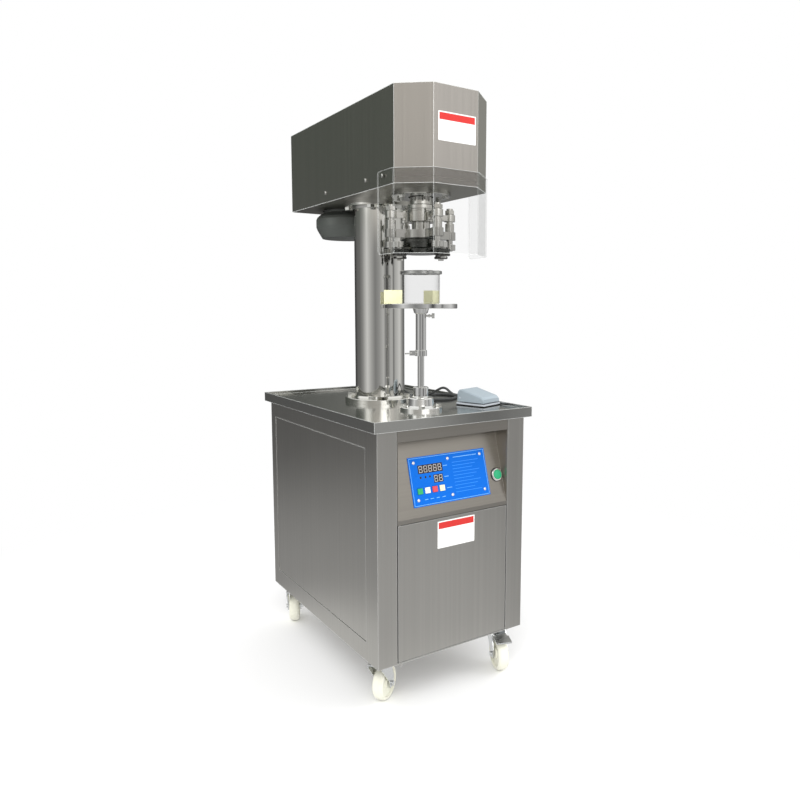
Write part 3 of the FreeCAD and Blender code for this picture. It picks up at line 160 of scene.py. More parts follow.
class NodeGraph:
    """A material's or the world's node tree, with one way to add a node."""

    def __init__(self, tree: bpy.types.NodeTree) -> None:
        """Start from an empty tree.

        Args:
            tree: the tree to fill.
        """
        self.tree = tree
        tree.nodes.clear()

    def add(self, kind: str, settings: Optional[dict] = None, **inputs) -> bpy.types.Node:
        """Add a node, set its properties and fill or link its inputs.

        Args:
            kind: the node's type without its ShaderNode prefix.
            settings: properties of the node itself.
            **inputs: socket names, with underscores for spaces and a number after "input" where a
                socket is meant by its place; values are constants or output sockets.

        Returns:
            The new node.
        """
        node = self.tree.nodes.new(f"ShaderNode{kind}")
        for key, value in (settings or {}).items():
            setattr(node, key, value)
        for key, value in inputs.items():
            found = int(key[5:]) if key.startswith("input") else key.replace("_", " ")
            socket = node.inputs[found]
            if isinstance(value, bpy.types.NodeSocket):
                self.tree.links.new(value, socket)
            else:
                socket.default_value = value
        return node

    def maths(self, operation: str, *values) -> bpy.types.NodeSocket:
        """Add a maths node.

        Args:
            operation: its operation.
            *values: constants or output sockets.

        Returns:
            Its result.
        """
        inputs = {f"input{k}": value for k, value in enumerate(values)}
        return self.add("Math", {"operation": operation}, **inputs).outputs[0]

    def ramp(self, factor, stops: Sequence[tuple[float, Sequence[float]]]) -> bpy.types.NodeSocket:
        """Add a colour ramp.

        Args:
            factor: the socket that drives it.
            stops: positions from 0 to 1 and linear colours or single grey values.

        Returns:
            The ramp's colour.
        """
        node = self.add("ValToRGB", Fac=factor)
        elements = node.color_ramp.elements
        while len(elements) < len(stops):
            elements.new(0.5)
        for element, (position, colour) in zip(elements, stops):
            element.position = position
            shares = tuple(colour) if isinstance(colour, (tuple, list)) else (colour,) * 3
            element.color = (*shares[:3], 1.0)
        return node.outputs["Color"]

    def noise(self, coordinates, scale: float, detail: float = 3.0) -> bpy.types.NodeSocket:
        """Add a noise texture.

        Args:
            coordinates: the vector socket that it follows.
            scale: patterns per metre.
            detail: how many finer layers it has.

        Returns:
            Its value.
        """
        return self.add("TexNoise", Vector=coordinates, Scale=scale, Detail=detail).outputs["Fac"]


class Finisher:
    """Makes each finish's material once and gives it to pieces."""

    # Size of the smudges that handling leaves.
    SMUDGE = 60 * MM
    # Painted highlight on edges and bends, drawn as pale lines: how far it reaches for each metre of
    # rounding, how fast it rises, and its colour.
    RIM_REACH, RIM_RISE, RIM_COLOUR = 2.2, 14.0, "#F4F6F4"
    # A clear wall seen edge on: how late its cover rises, and how many times its cover it then adds.
    FLAT_POWER, FLAT_GAIN = 3.0, 8

    def __init__(self) -> None:
        """Start with no materials."""
        self.made: dict[str, bpy.types.Material] = {}

    def material(self, finish: Finish) -> bpy.types.Material:
        """Make a finish's procedural material, or find the one made before.

        Args:
            finish: the finish.

        Returns:
            Its material.
        """
        if finish.name in self.made:
            return self.made[finish.name]
        material = bpy.data.materials.new(finish.name)
        material.use_nodes = True
        graph = NodeGraph(material.node_tree)
        graph.add("OutputMaterial", Surface=self._surface(graph, finish))
        self.made[finish.name] = material
        return material

    def split_material(self, name: str, below: Finish, above: Finish, height: float) -> bpy.types.Material:
        """Make a material for a piece of two stuffs, one above the other.

        Args:
            name: the material's name.
            below: the finish of the lower part.
            above: the finish of the upper part.
            height: where they meet, in metres above the ground.

        Returns:
            The material.
        """
        material = bpy.data.materials.new(name)
        material.use_nodes = True
        graph = NodeGraph(material.node_tree)
        place = graph.add("TexCoord").outputs["Object"]
        level = graph.add("SeparateXYZ", Vector=place).outputs["Z"]
        over = graph.maths("GREATER_THAN", level, height)
        mixed = graph.add("MixShader", input0=over, input1=self._surface(graph, below),
                          input2=self._surface(graph, above))
        graph.add("OutputMaterial", Surface=mixed.outputs[0])
        return material

    def _surface(self, graph: NodeGraph, finish: Finish) -> bpy.types.NodeSocket:
        """Add the nodes of a finish.

        Args:
            graph: the material's graph.
            finish: the finish.

        Returns:
            The finished surface's shader.
        """
        place = graph.add("TexCoord").outputs["Object"]
        pattern = self._pattern(graph, place, finish)
        smudge = graph.noise(place, 1 / self.SMUDGE, 4.0)
        colour = self._varied_colour(graph, pattern, finish)
        roughness = self._varied_roughness(graph, pattern, smudge, finish)
        rounded = graph.add("Bevel", {"samples": 4}, Radius=finish.edge).outputs["Normal"]
        normal = rounded
        if finish.depth:
            bump = graph.add("Bump", Strength=0.6, Distance=finish.depth, Height=pattern, Normal=rounded)
            normal = bump.outputs["Normal"]
        shader = graph.add("BsdfPrincipled", Base_Color=colour, Metallic=finish.metallic, Roughness=roughness,
                           Normal=normal, IOR=finish.ior, Coat_Weight=finish.coat,
                           Coat_Roughness=0.08, Alpha=finish.alpha)
        if finish.alpha < 1:
            # A clear wall covers more of what lies behind it where it is seen edge on.
            facing = graph.add("LayerWeight", Blend=0.5).outputs["Facing"]
            late = graph.maths("POWER", facing, self.FLAT_POWER)
            flat = graph.maths("MULTIPLY", late, self.FLAT_GAIN * finish.alpha)
            graph.tree.links.new(graph.maths("ADD", flat, finish.alpha), shader.inputs["Alpha"])
        # Edges and bends get a painted highlight: pale diffuse mixed into the sheet.
        if finish.edge_highlight:
            return self._with_painted_edge_highlight(graph, shader.outputs["BSDF"], finish)
        return shader.outputs["BSDF"]

    def _with_painted_edge_highlight(self, graph: NodeGraph, sheet, finish: Finish) -> bpy.types.NodeSocket:
        """Paint a highlight on a sheet's edges and bends as pale lines.

        Args:
            graph: the material's graph.
            sheet: the sheet's shader.
            finish: the finish.

        Returns:
            The shader with its painted edge highlight.
        """
        wide = graph.add("Bevel", {"samples": 8}, Radius=self.RIM_REACH * finish.edge).outputs["Normal"]
        flat = graph.add("NewGeometry").outputs["True Normal"]
        alike = graph.add("VectorMath", {"operation": "DOT_PRODUCT"}, input0=wide,
                          input1=flat).outputs["Value"]
        apart = graph.maths("SUBTRACT", 1.0, graph.maths("ABSOLUTE", alike))
        edge = graph.maths("MULTIPLY", apart, self.RIM_RISE)
        share = graph.maths("MULTIPLY", graph.add("Clamp", Value=edge).outputs[0], finish.edge_highlight)
        # Pale diffuse at the edges: the painted highlight.
        pale = graph.add("BsdfDiffuse", Color=(*linear(self.RIM_COLOUR), 1)).outputs[0]
        return graph.add("MixShader", input0=share, input1=sheet, input2=pale).outputs[0]

    def _pattern(self, graph: NodeGraph, place, finish: Finish) -> bpy.types.NodeSocket:
        """Add the nodes of a finish's pattern.

        Args:
            graph: the material's graph.
            place: the object coordinates.
            finish: the finish.

        Returns:
            The pattern's height, from 0 to 1.
        """
        across = 1 / finish.grain
        if finish.pattern is Pattern.BRUSHED:
            scale = [across] * 3
            scale[finish.along] = 1 / finish.length
            stretched = graph.add("Mapping", Vector=place, Scale=scale).outputs["Vector"]
            fine = graph.noise(stretched, 1.0, 3.0)
            broad = graph.noise(stretched, 0.09, 2.0)
            return graph.add("Mix", {"data_type": "FLOAT"}, input0=0.6, input2=fine, input3=broad).outputs[0]
        if finish.pattern is Pattern.TURNED:
            split = graph.add("SeparateXYZ", Vector=place).outputs
            rings = graph.add("CombineXYZ", X=0.0, Y=0.0, Z=split["Z"]).outputs["Vector"]
            return graph.noise(rings, across, 2.0)
        return graph.noise(place, across, 4.0)

    def _varied_colour(self, graph: NodeGraph, pattern, finish: Finish) -> bpy.types.NodeSocket:
        """Vary the base colour with the pattern.

        Args:
            graph: the material's graph.
            pattern: the pattern's value.
            finish: the finish.

        Returns:
            The colour.
        """
        base = linear(finish.colour)
        low = tuple(c * (1 - finish.variation) for c in base)
        high = tuple(min(1.0, c * (1 + finish.variation)) for c in base)
        return graph.ramp(pattern, [(0.3, low), (0.7, high)])

    def _varied_roughness(self, graph: NodeGraph, pattern, smudge, finish: Finish) -> bpy.types.NodeSocket:
        """Vary the roughness with the pattern and with smudges.

        Args:
            graph: the material's graph.
            pattern: the pattern's value.
            smudge: a broad noise.
            finish: the finish.

        Returns:
            The roughness.
        """
        spread = graph.maths("MULTIPLY", graph.maths("SUBTRACT", smudge, 0.5), finish.wear)
        fine = graph.maths("MULTIPLY", graph.maths("SUBTRACT", pattern, 0.5), finish.variation)
        total = graph.maths("ADD", graph.maths("ADD", spread, fine), finish.roughness)
        return graph.add("Clamp", Value=total, Min=0.02, Max=1.0).outputs[0]

    def dress(self, piece: bpy.types.Object, *finishes: Finish) -> None:
        """Give a piece its materials in slot order.

        Args:
            piece: the object.
            *finishes: one finish for each slot.
        """
        slots = piece.data.materials
        for place, finish in enumerate(finishes):
            if place < len(slots):
                slots[place] = self.material(finish)
            else:
                slots.append(self.material(finish))


# Sheet metal of the cabinet: grade 304 stainless with a fine vertical grain, and a painted highlight on its
# edges and bends.
CABINET_SHEET = Finish("brushed stainless cabinet sheet", "#C3C1BC", 1.0, 0.30, Pattern.BRUSHED, 0.5 * MM,
                       120 * MM, 2, 0.006 * MM, 0.05, 0.08, 0.7 * MM, edge_highlight=0.30)
# The console's front, which stands in the shade of the worktop: the cabinet's sheet painted darker there as
# painted shade, with its grain running across.
SHADED_CONSOLE_SHEET = Finish("brushed stainless console sheet", "#A9A59E", 1.0, 0.34, Pattern.BRUSHED, 0.5 * MM,
                       120 * MM, 0, 0.006 * MM, 0.05, 0.08, 1.4 * MM)
# The same sheet, bent round the head with its grain upright, with a stronger painted highlight on its edges
# and bends.
CASING_SHEET = Finish("brushed stainless casing sheet", "#C4C1BC", 1.0, 0.22, Pattern.BRUSHED, 0.5 * MM,
                      150 * MM, 2, 0.004 * MM, 0.05, 0.06, 1.0 * MM, edge_highlight=0.60)
# Worktop: finer finish, nearly a mirror at a flat view, with a painted highlight on its edges.
WORKTOP_SHEET = Finish("bright stainless worktop", "#C0C0BC", 1.0, 0.16, Pattern.BRUSHED, 0.5 * MM,
                       150 * MM, 1, 0.002 * MM, 0.02, 0.08, 0.8 * MM, edge_highlight=0.45)
# Column tube: polished thick-wall stainless pipe.
POLISHED_TUBE = Finish("polished stainless tube", "#E4E3DE", 1.0, 0.06, Pattern.TURNED, 0.4 * MM,
                       1.0, 2, 0.0015 * MM, 0.015, 0.05, 0.8 * MM)
# Turned and polished parts of the lift.
POLISHED_TURNED = Finish("polished turned stainless", "#EAEAE8", 1.0, 0.07, Pattern.TURNED, 0.3 * MM,
                         1.0, 2, 0.003 * MM, 0.02, 0.05, 0.5 * MM)
# Machined carbon steel of the drive.
MACHINED_STEEL = Finish("machined steel", "#CBCAC5", 1.0, 0.09, Pattern.TURNED, 0.4 * MM,
                        1.0, 2, 0.006 * MM, 0.05, 0.08, 0.6 * MM)
# Plate cut and milled flat.
MILLED_PLATE = Finish("milled steel plate", "#B6B4AC", 1.0, 0.34, Pattern.BRUSHED, 0.8 * MM,
                      60 * MM, 1, 0.006 * MM, 0.05, 0.08, 1.0 * MM)
# Rollers, chuck and bearings: hardened and ground.
HARDENED_STEEL = Finish("hardened ground steel", "#5E5E5B", 1.0, 0.10, Pattern.TURNED, 0.25 * MM,
                        1.0, 2, 0.002 * MM, 0.03, 0.05, 0.4 * MM)
# Roller arms: milled alloy steel, left bright.
ARM_STEEL = Finish("milled bright arm steel", "#DAD9D4", 1.0, 0.12, Pattern.BRUSHED, 0.4 * MM,
                   20 * MM, 0, 0.004 * MM, 0.05, 0.08, 0.6 * MM)
# Fork and lever sheet of the casters.
ZINC_STEEL = Finish("zinc plated steel", "#DDDFE0", 1.0, 0.26, Pattern.GRAIN, 1.2 * MM,
                    1.0, 2, 0.006 * MM, 0.06, 0.10, 0.8 * MM)
# Bolts and screws.
ZINC_BOLT = Finish("zinc plated bolt steel", "#CFCFCB", 1.0, 0.22, Pattern.TURNED, 0.3 * MM,
                   1.0, 2, 0.004 * MM, 0.04, 0.06, 0.5 * MM)
# Small polished screws of the control panel, which catch the light.
BRIGHT_SCREW = Finish("nickel plated screw", "#F1F1EF", 0.55, 0.25, Pattern.TURNED, 0.3 * MM,
                      1.0, 2, 0.002 * MM, 0.02, 0.04, 0.5 * MM)
# Motor: grey enamel over cast aluminium.
MOTOR_ENAMEL = Finish("dark grey motor enamel", "#5C605C", 0.35, 0.34, Pattern.GRAIN, 1.5 * MM,
                      1.0, 2, 0.02 * MM, 0.06, 0.08, 1.2 * MM, coat=0.25)
# Caster wheels: cast nylon, slightly yellow.
CAST_NYLON = Finish("cast nylon", "#F0EFDF", 0.0, 0.38, Pattern.GRAIN, 2.0 * MM,
                    1.0, 2, 0.01 * MM, 0.03, 0.12, 0.8 * MM)
# Locating blocks: sawn and milled nylon that has yellowed.
MILLED_NYLON = Finish("milled yellowed nylon", "#F4F3C9", 0.0, 0.45, Pattern.BRUSHED, 0.7 * MM,
                      30 * MM, 2, 0.02 * MM, 0.03, 0.08, 0.8 * MM)
# Guard: clear acrylic sheet with a slight green-grey tint, with a painted highlight on its edges.
CLEAR_ACRYLIC = Finish("clear acrylic sheet", "#3E453F", 0.0, 0.04, Pattern.GRAIN, 40 * MM,
                       1.0, 2, 0.0, 0.01, 0.02, 0.8 * MM, ior=1.49, alpha=0.03, edge_highlight=0.45)
# Sample can: clear moulded body, a little smoky, with a painted highlight on its edges.
CLEAR_CAN = Finish("clear moulded can", "#2C2E28", 0.0, 0.05, Pattern.GRAIN, 20 * MM,
                   1.0, 2, 0.0, 0.01, 0.02, 0.5 * MM, ior=1.45, alpha=0.05, edge_highlight=0.3)
# Lid of the sample can.
TINPLATE = Finish("bright tinplate lid", "#D5D6D3", 1.0, 0.16, Pattern.TURNED, 0.4 * MM,
                  1.0, 2, 0.002 * MM, 0.02, 0.05, 0.4 * MM)
# Control panel: printed polyester film over an aluminium plate.
BLUE_FILM = Finish("azure printed polyester film", "#0067CF", 0.0, 0.46, Pattern.GRAIN, 0.5 * MM,
                   1.0, 2, 0.005 * MM, 0.02, 0.06, 0.4 * MM, ior=1.26)
# Inks printed on the film.
FILM_LINE = Finish("pale blue printed line", "#7FC2F8", 0.0, 0.4, Pattern.GRAIN, 0.5 * MM)
FILM_RULE = Finish("mid blue printed rule", "#2A8DEE", 0.0, 0.4, Pattern.GRAIN, 0.5 * MM)
# Windows over the displays: smoked plastic.
DISPLAY_GLASS = Finish("smoked display window", "#160F12", 0.0, 0.12, Pattern.GRAIN, 8 * MM,
                       1.0, 2, 0.0, 0.05, 0.03, 0.2 * MM, coat=0.5)
# The digits are off, so their segments show as pale grey bars in the dark window.
SEGMENT = Finish("unlit grey display segment", "#CBC5C3", 0.0, 0.35, Pattern.GRAIN, 0.5 * MM)
# Keys: moulded plastic caps, the same but for their colour.
KEY_GREEN, KEY_WHITE, KEY_RED, KEY_YELLOW = (
    Finish(f"{name} moulded key", code, 0.0, 0.32, Pattern.GRAIN, 0.8 * MM, 1.0, 2, 0.004 * MM, varied, 0.05)
    for name, code, varied in (("green", "#2FA864", 0.03), ("white", "#F2F2EC", 0.02),
                               ("red", "#D84A52", 0.03), ("cream yellow", "#F3F0C4", 0.03)))
# Push button: glossy moulded cap in a chromed brass bezel.
BUTTON_GREEN = Finish("green moulded button", "#22A772", 0.0, 0.24, Pattern.GRAIN, 1.0 * MM,
                      1.0, 2, 0.004 * MM, 0.03, 0.05, 0.8 * MM, coat=0.3)
CHROME_RING = Finish("chromed bezel", "#F4F4F2", 1.0, 0.10, Pattern.TURNED, 0.3 * MM, 1.0, 2, 0.001 * MM,
                     0.01, 0.03)
# Foot switch: light blue-grey ABS with a fine spark-eroded grain.
GREY_ABS = Finish("blue-grey grained plastic", "#A9B6BE", 0.0, 0.46, Pattern.GRAIN, 0.9 * MM,
                  1.0, 2, 0.05 * MM, 0.04, 0.08, 1.0 * MM)
PEDAL_BODY = Finish("pale blue-grey grained plastic", "#C9CFD6", 0.0, 0.46, Pattern.GRAIN, 0.9 * MM,
                    1.0, 2, 0.05 * MM, 0.04, 0.08, 1.0 * MM)
# Rubber of the foot switch's foot and of the belt, jacket and glands of the cable.
FOOT_RUBBER = Finish("black foot rubber", "#141414", 0.0, 0.6, Pattern.GRAIN, 1.0 * MM, 1.0, 2, 0.02 * MM,
                     0.1, 0.05)
BELT_RUBBER = Finish("belt rubber", "#1E1E1E", 0.0, 0.7, Pattern.GRAIN, 1.0 * MM, 1.0, 2, 0.03 * MM, 0.1,
                     0.05)
CABLE_PVC = Finish("grey cable jacket", "#4A4C4D", 0.0, 0.42, Pattern.GRAIN, 1.0 * MM, 1.0, 2, 0.01 * MM,
                   0.05, 0.08)
GLAND_NYLON = Finish("black gland nylon", "#1F2021", 0.0, 0.45, Pattern.GRAIN, 0.8 * MM, 1.0, 2, 0.01 * MM,
                     0.05, 0.05)
# Control box: powder-coated steel.
BOX_ENAMEL = Finish("textured grey enamel", "#C9CBC8", 0.0, 0.5, Pattern.GRAIN, 1.2 * MM, 1.0, 2, 0.04 * MM,
                    0.03, 0.05)
# Label plates: coated aluminium.
PLATE_WHITE = Finish("white coated label plate", "#F3F3F0", 0.0, 0.36, Pattern.GRAIN, 2 * MM, 1.0, 2, 0.0,
                     0.01, 0.05)
PLATE_RED = Finish("red band of a label plate", "#CF2B26", 0.0, 0.36, Pattern.GRAIN, 2 * MM, 1.0, 2, 0.0,
                   0.02, 0.05)

# Finish of each packed sub-part. Names that end in a star stand for every sub-part that starts so.
NODE_FINISHES: dict[str, Finish] = {
    "cabinet_frame": CABINET_SHEET, "side_panels": CABINET_SHEET, "back_panel": CABINET_SHEET,
    "console_fascia": SHADED_CONSOLE_SHEET, "door_panel": CABINET_SHEET, "worktop": WORKTOP_SHEET,
    "head_casing": CASING_SHEET, "head_base_plate": MILLED_PLATE, "guard_shield": CLEAR_ACRYLIC,
    "column": POLISHED_TUBE, "hex_bolts": ZINC_BOLT, "motor": MOTOR_ENAMEL,
    "spindle_housing": MACHINED_STEEL, "spindle_bearings": HARDENED_STEEL, "centre_shaft": MACHINED_STEEL,
    "seaming_chuck": HARDENED_STEEL, "seaming_rotor": MACHINED_STEEL, "driven_pulley": MACHINED_STEEL,
    "drive_pulley": MACHINED_STEEL, "drive_belt": BELT_RUBBER, "first_arm*": ARM_STEEL,
    "second_arm*": ARM_STEEL, "first_roller*": HARDENED_STEEL, "second_roller*": HARDENED_STEEL,
    "lift_actuator": MACHINED_STEEL, "post_base": POLISHED_TURNED, "lift_rod": POLISHED_TURNED,
    "lift_sleeve": POLISHED_TURNED, "lift_plate": POLISHED_TURNED, "thumb_screw": POLISHED_TURNED,
    "locating_blocks": MILLED_NYLON, "sample_can": CLEAR_CAN, "control_membrane": BLUE_FILM,
    "green_key": KEY_GREEN, "white_key": KEY_WHITE, "red_key": KEY_RED, "yellow_key": KEY_YELLOW,
    "button_bezel": CHROME_RING, "green_button": BUTTON_GREEN, "control_box": BOX_ENAMEL,
    "caster_fork*": ZINC_STEEL, "caster_wheel*": CAST_NYLON, "brake_lever*": ZINC_STEEL,
    "pedal_base": PEDAL_BODY, "pedal_treadle": GREY_ABS, "cable_glands": GLAND_NYLON,
}


@dataclass
class Outline:
    """A mesh in the making, joined from simple solids.

    Attributes:
        mesh: the solids' vertices and faces.
    """

    mesh: bmesh.types.BMesh = field(default_factory=bmesh.new)

    def slab(self, middle: Vector, size: Vector, turn: Matrix, rounding: float, slot: int = 0) -> None:
        """Add a slab with rounded upright corners.

        Args:
            middle: centre of the slab.
            size: its width, height and thickness.
            turn: its rotation; thickness runs along the turned Z axis.
            rounding: radius of its corners.
            slot: material slot of its faces.
        """
        corners = []
        for across, up, start in ((1, 1, 0), (-1, 1, 90), (-1, -1, 180), (1, -1, 270)):
            centre = Vector((across * (size.x / 2 - rounding), up * (size.y / 2 - rounding)))
            for step in range(5):
                angle = math.radians(start + 22.5 * step)
                corners.append(centre + Vector((math.cos(angle), math.sin(angle))) * rounding)
        rings = []
        for level in (-size.z / 2, size.z / 2):
            points = (Vector((corner.x, corner.y, level)) for corner in corners)
            rings.append([self.mesh.verts.new(middle + turn @ point) for point in points])
        faces = [self.mesh.faces.new(rings[0][::-1]), self.mesh.faces.new(rings[1])]
        count = len(corners)
        for k in range(count):
            following = (k + 1) % count
            faces.append(self.mesh.faces.new((rings[0][k], rings[0][following], rings[1][following],
                                              rings[1][k])))
        for face in faces:
            face.material_index = slot

    def turned(self, middle: Vector, axis: Vector, profile: Sequence[tuple[float, float]],
               sides: int = 24) -> None:
        """Add a turned solid.

        Args:
            middle: where the axis starts.
            axis: the direction of the axis.
            profile: radii and distances along the axis, from one end to the other.
            sides: facets round the axis.
        """
        turn = axis.to_track_quat("Z", "Y").to_matrix()
        rings = []
        for radius, distance in profile:
            ring = []
            for k in range(sides):
                angle = 2 * math.pi * k / sides
                point = Vector((radius * math.cos(angle), radius * math.sin(angle), distance))
                ring.append(self.mesh.verts.new(middle + turn @ point))
            rings.append(ring)
        self.mesh.faces.new(rings[0][::-1])
        self.mesh.faces.new(rings[-1])
        for low, high in zip(rings, rings[1:]):
            for k in range(sides):
                following = (k + 1) % sides
                self.mesh.faces.new((low[k], low[following], high[following], high[k])).smooth = True

    def finish(self, name: str) -> bpy.types.Object:
        """Turn the solids into an object.

        Args:
            name: the object's name.

        Returns:
            The object.
        """
        bmesh.ops.recalc_face_normals(self.mesh, faces=self.mesh.faces)
        data = bpy.data.meshes.new(name)
        self.mesh.to_mesh(data)
        self.mesh.free()
        piece = bpy.data.objects.new(name, data)
        bpy.context.scene.collection.objects.link(piece)
        return piece


class Slope:
    """The console's sloping face, with places given along it in millimetres."""

    ANGLE = math.radians(15.84)
    FOOT = Vector((0.0, -276 * MM, 405 * MM))

    def __init__(self) -> None:
        """Work out the face's directions."""
        self.turn = Matrix.Rotation(math.pi / 2 - self.ANGLE, 3, "X")

    def at(self, across: float, up: float, out: float = 0.0) -> Vector:
        """Find a place.

        Args:
            across: millimetres to the right of the middle.
            up: millimetres up the slope.
            out: millimetres out from the face.

        Returns:
            The place, in metres.
        """
        return self.FOOT + self.turn @ (Vector((across, up, out)) * MM)


class Seamer:
    """The dressed machine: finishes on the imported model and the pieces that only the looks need."""

    # Sloping panel, in millimetres: how far out its film and its windows lie, thickness of the print and
    # the height of its middle above the film, size, stroke and spacing of the digits.
    FILM_FACE = 1.2
    WINDOW_FACE = 0.7
    PRINT = 0.06
    PRINT_FACE = 1.23
    DIGIT = (8.2, 13.6)
    STROKE = 1.2
    DIGIT_STEP = 11.9
    # Printed dashes on the slope: places across and up, and lengths, in millimetres.
    DASHES = [(-8.5, 97.0, 11.0), (-8.5, 74.0, 11.0), (-66.0, 33.5, 8.0), (-52.0, 33.5, 8.0),
              (-37.0, 33.5, 8.0), (-22.0, 33.5, 8.0), (-5.0, 50.0, 13.0), (46.0, 111.5, 62.0)]
    # Middle of the push button on the slope, in millimetres across and up.
    BUTTON = (125.0, 60.3)
    # Route of the foot switch's cable, the same points as the model's, in millimetres.
    LYING = 608.15
    LEAD_ROUTE = [
        (136.5, -107.32, 621.0), (131.97, -92.5, 621.0), (129.6, -76.6, 627.2), (129.6, -60.2, 635.0),
        (130.0, -43.4, 635.6), (128.4, -26.6, 628.6), (123.5, -9.6, 618.2), (121.5, 8.0, 610.6),
        (127.0, 25.0, LYING), (140.6, 37.5, LYING), (158.4, 41.0, LYING), (175.2, 35.6, LYING),
        (187.0, 22.2, LYING), (190.6, 4.4, LYING), (187.6, -14.4, LYING), (180.0, -31.6, LYING),
        (167.8, -46.0, LYING), (151.8, -56.4, LYING), (133.6, -60.0, LYING), (116.0, -56.0, LYING),
        (102.2, -44.6, LYING), (94.6, -28.2, LYING), (93.8, -10.0, LYING), (98.4, 9.4, LYING),
        (104.6, 30.0, LYING), (109.4, 51.6, LYING), (113.4, 74.0, LYING), (119.0, 96.6, LYING),
        (127.2, 118.0, LYING), (135.8, 138.4, LYING), (141.8, 158.8, LYING), (144.3, 179.0, LYING),
    ]
    TAIL_ROUTE = [
        (64.5, 198.0, LYING), (55.5, 182.5, 610.0), (44.5, 168.5, 617.0), (34.0, 154.0, 626.5),
        (27.0, 137.0, 634.0), (22.1, 118.6, 634.0),
    ]
    COIL_MIDDLE = (105.0, 190.0)
    COIL_RADII = (39.4, 33.0)
    CABLE_RADIUS = 3.0
    # Length of the cable, in metres.
    CABLE_LENGTH = 1.46
    # Heights at which the sample can's lid starts and the foot switch's rubber foot ends, in metres.
    LID_FOOT = 902.5 * MM
    RUBBER_TOP = 607.4 * MM

    def __init__(self, frame: dict) -> None:
        """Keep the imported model.
        """
        self.frame = frame
        self.finisher = Finisher()
        self.slope = Slope()

    def keep(self, piece: bpy.types.Object, body: str, slot: str, *finishes: Finish) -> bpy.types.Object:
        """Dress a new piece and fix it to a body.

        Args:
            piece: the object.
            body: the body that it rides on.
            slot: the record's material slot that it belongs to; not used.
            *finishes: its finishes in slot order.

        Returns:
            The object.
        """
        self.finisher.dress(piece, *finishes)
        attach(piece, body)
        log.info("%s rides on %s", piece.name, body)
        return piece

    def dress_model(self) -> None:
        """Give every packed sub-part its finish."""
        for name, node in self.frame["nodes"].items():
            found = [finish for key, finish in NODE_FINISHES.items() if self._means(key, name)]
            if not found:
                continue
            self.finisher.dress(node, found[0])
            # Clear pieces don't dim the light that reaches what stands close behind them.
            node.visible_diffuse = found[0] not in (CLEAR_ACRYLIC, CLEAR_CAN)
            node.visible_glossy = found[0] is not CLEAR_ACRYLIC
            log.info("%s: %s", name, found[0].name)
        halves = (("sample_can", "clear can and tinplate lid", CLEAR_CAN, TINPLATE, self.LID_FOOT),
                  ("pedal_base", "plastic base on a rubber foot", FOOT_RUBBER, PEDAL_BODY, self.RUBBER_TOP))
        for name, title, below, above, height in halves:
            node = self.frame["nodes"].get(name)
            if node:
                node.data.materials[0] = self.finisher.split_material(title, below, above, height)

    @staticmethod
    def _means(key: str, name: str) -> bool:
        """Tell whether a key of the finishes stands for a sub-part.

        Args:
            key: a name, or the start of names with a star.
            name: the sub-part.

        Returns:
            True where it does.
        """
        return name.startswith(key[:-1]) if key.endswith("*") else name == key

    def label_plates(self) -> None:
        """Bare white plates with a red band: one on the head's nose and one on the door."""
        face = Matrix.Rotation(math.pi / 2, 3, "X")
        plates = (("head_label", 2.5, -273.0, 1184.0, 92.0, 56.0, "machine"),
                  ("door_label", 4.0, -276.0, 359.5, 96.0, 58.0, "door"))
        for name, x, y, z, width, height, body in plates:
            outline = Outline()
            middle = Vector((x, y - 0.15, z)) * MM
            outline.slab(middle, Vector((width, height, 0.3)) * MM, face, 1.5 * MM, 0)
            band = Vector((x, y - 0.34, z + height * 0.335)) * MM
            outline.slab(band, Vector((width - 5, height * 0.24, 0.08)) * MM, face, 0.8 * MM, 1)
            self.keep(outline.finish(name), body, "stainless_sheet", PLATE_WHITE, PLATE_RED)

    def screws(self) -> None:
        """Round-headed screws of the casing, the guard's sides and the control panel."""
        outline = Outline()
        head = [(4.2, 0.0), (4.2, 1.0), (3.4, 2.0), (1.8, 2.5), (0.8, 2.6)]
        profile = [(radius * MM, distance * MM) for radius, distance in head]
        for side in (-1, 1):
            for x, y, z in ((115.2, 87, 1096), (115.2, -107, 1096), (118.2, -182, 1094)):
                outline.turned(Vector((side * x, y, z)) * MM, Vector((side, 0, 0)), profile)
        self.keep(outline.finish("casing_screws"), "machine", "bolt_steel", ZINC_BOLT)
        panel = Outline()
        small = [(radius * 0.8, distance * 0.7) for radius, distance in profile]
        normal = self.slope.turn @ Vector((0, 0, 1))
        for across in (-85.6, 0.3, 86.0):
            for up in (34.0, 111.0):
                panel.turned(self.slope.at(across, up, self.FILM_FACE), normal, small)
        self.keep(panel.finish("panel_screws"), "machine", "bolt_steel", BRIGHT_SCREW)

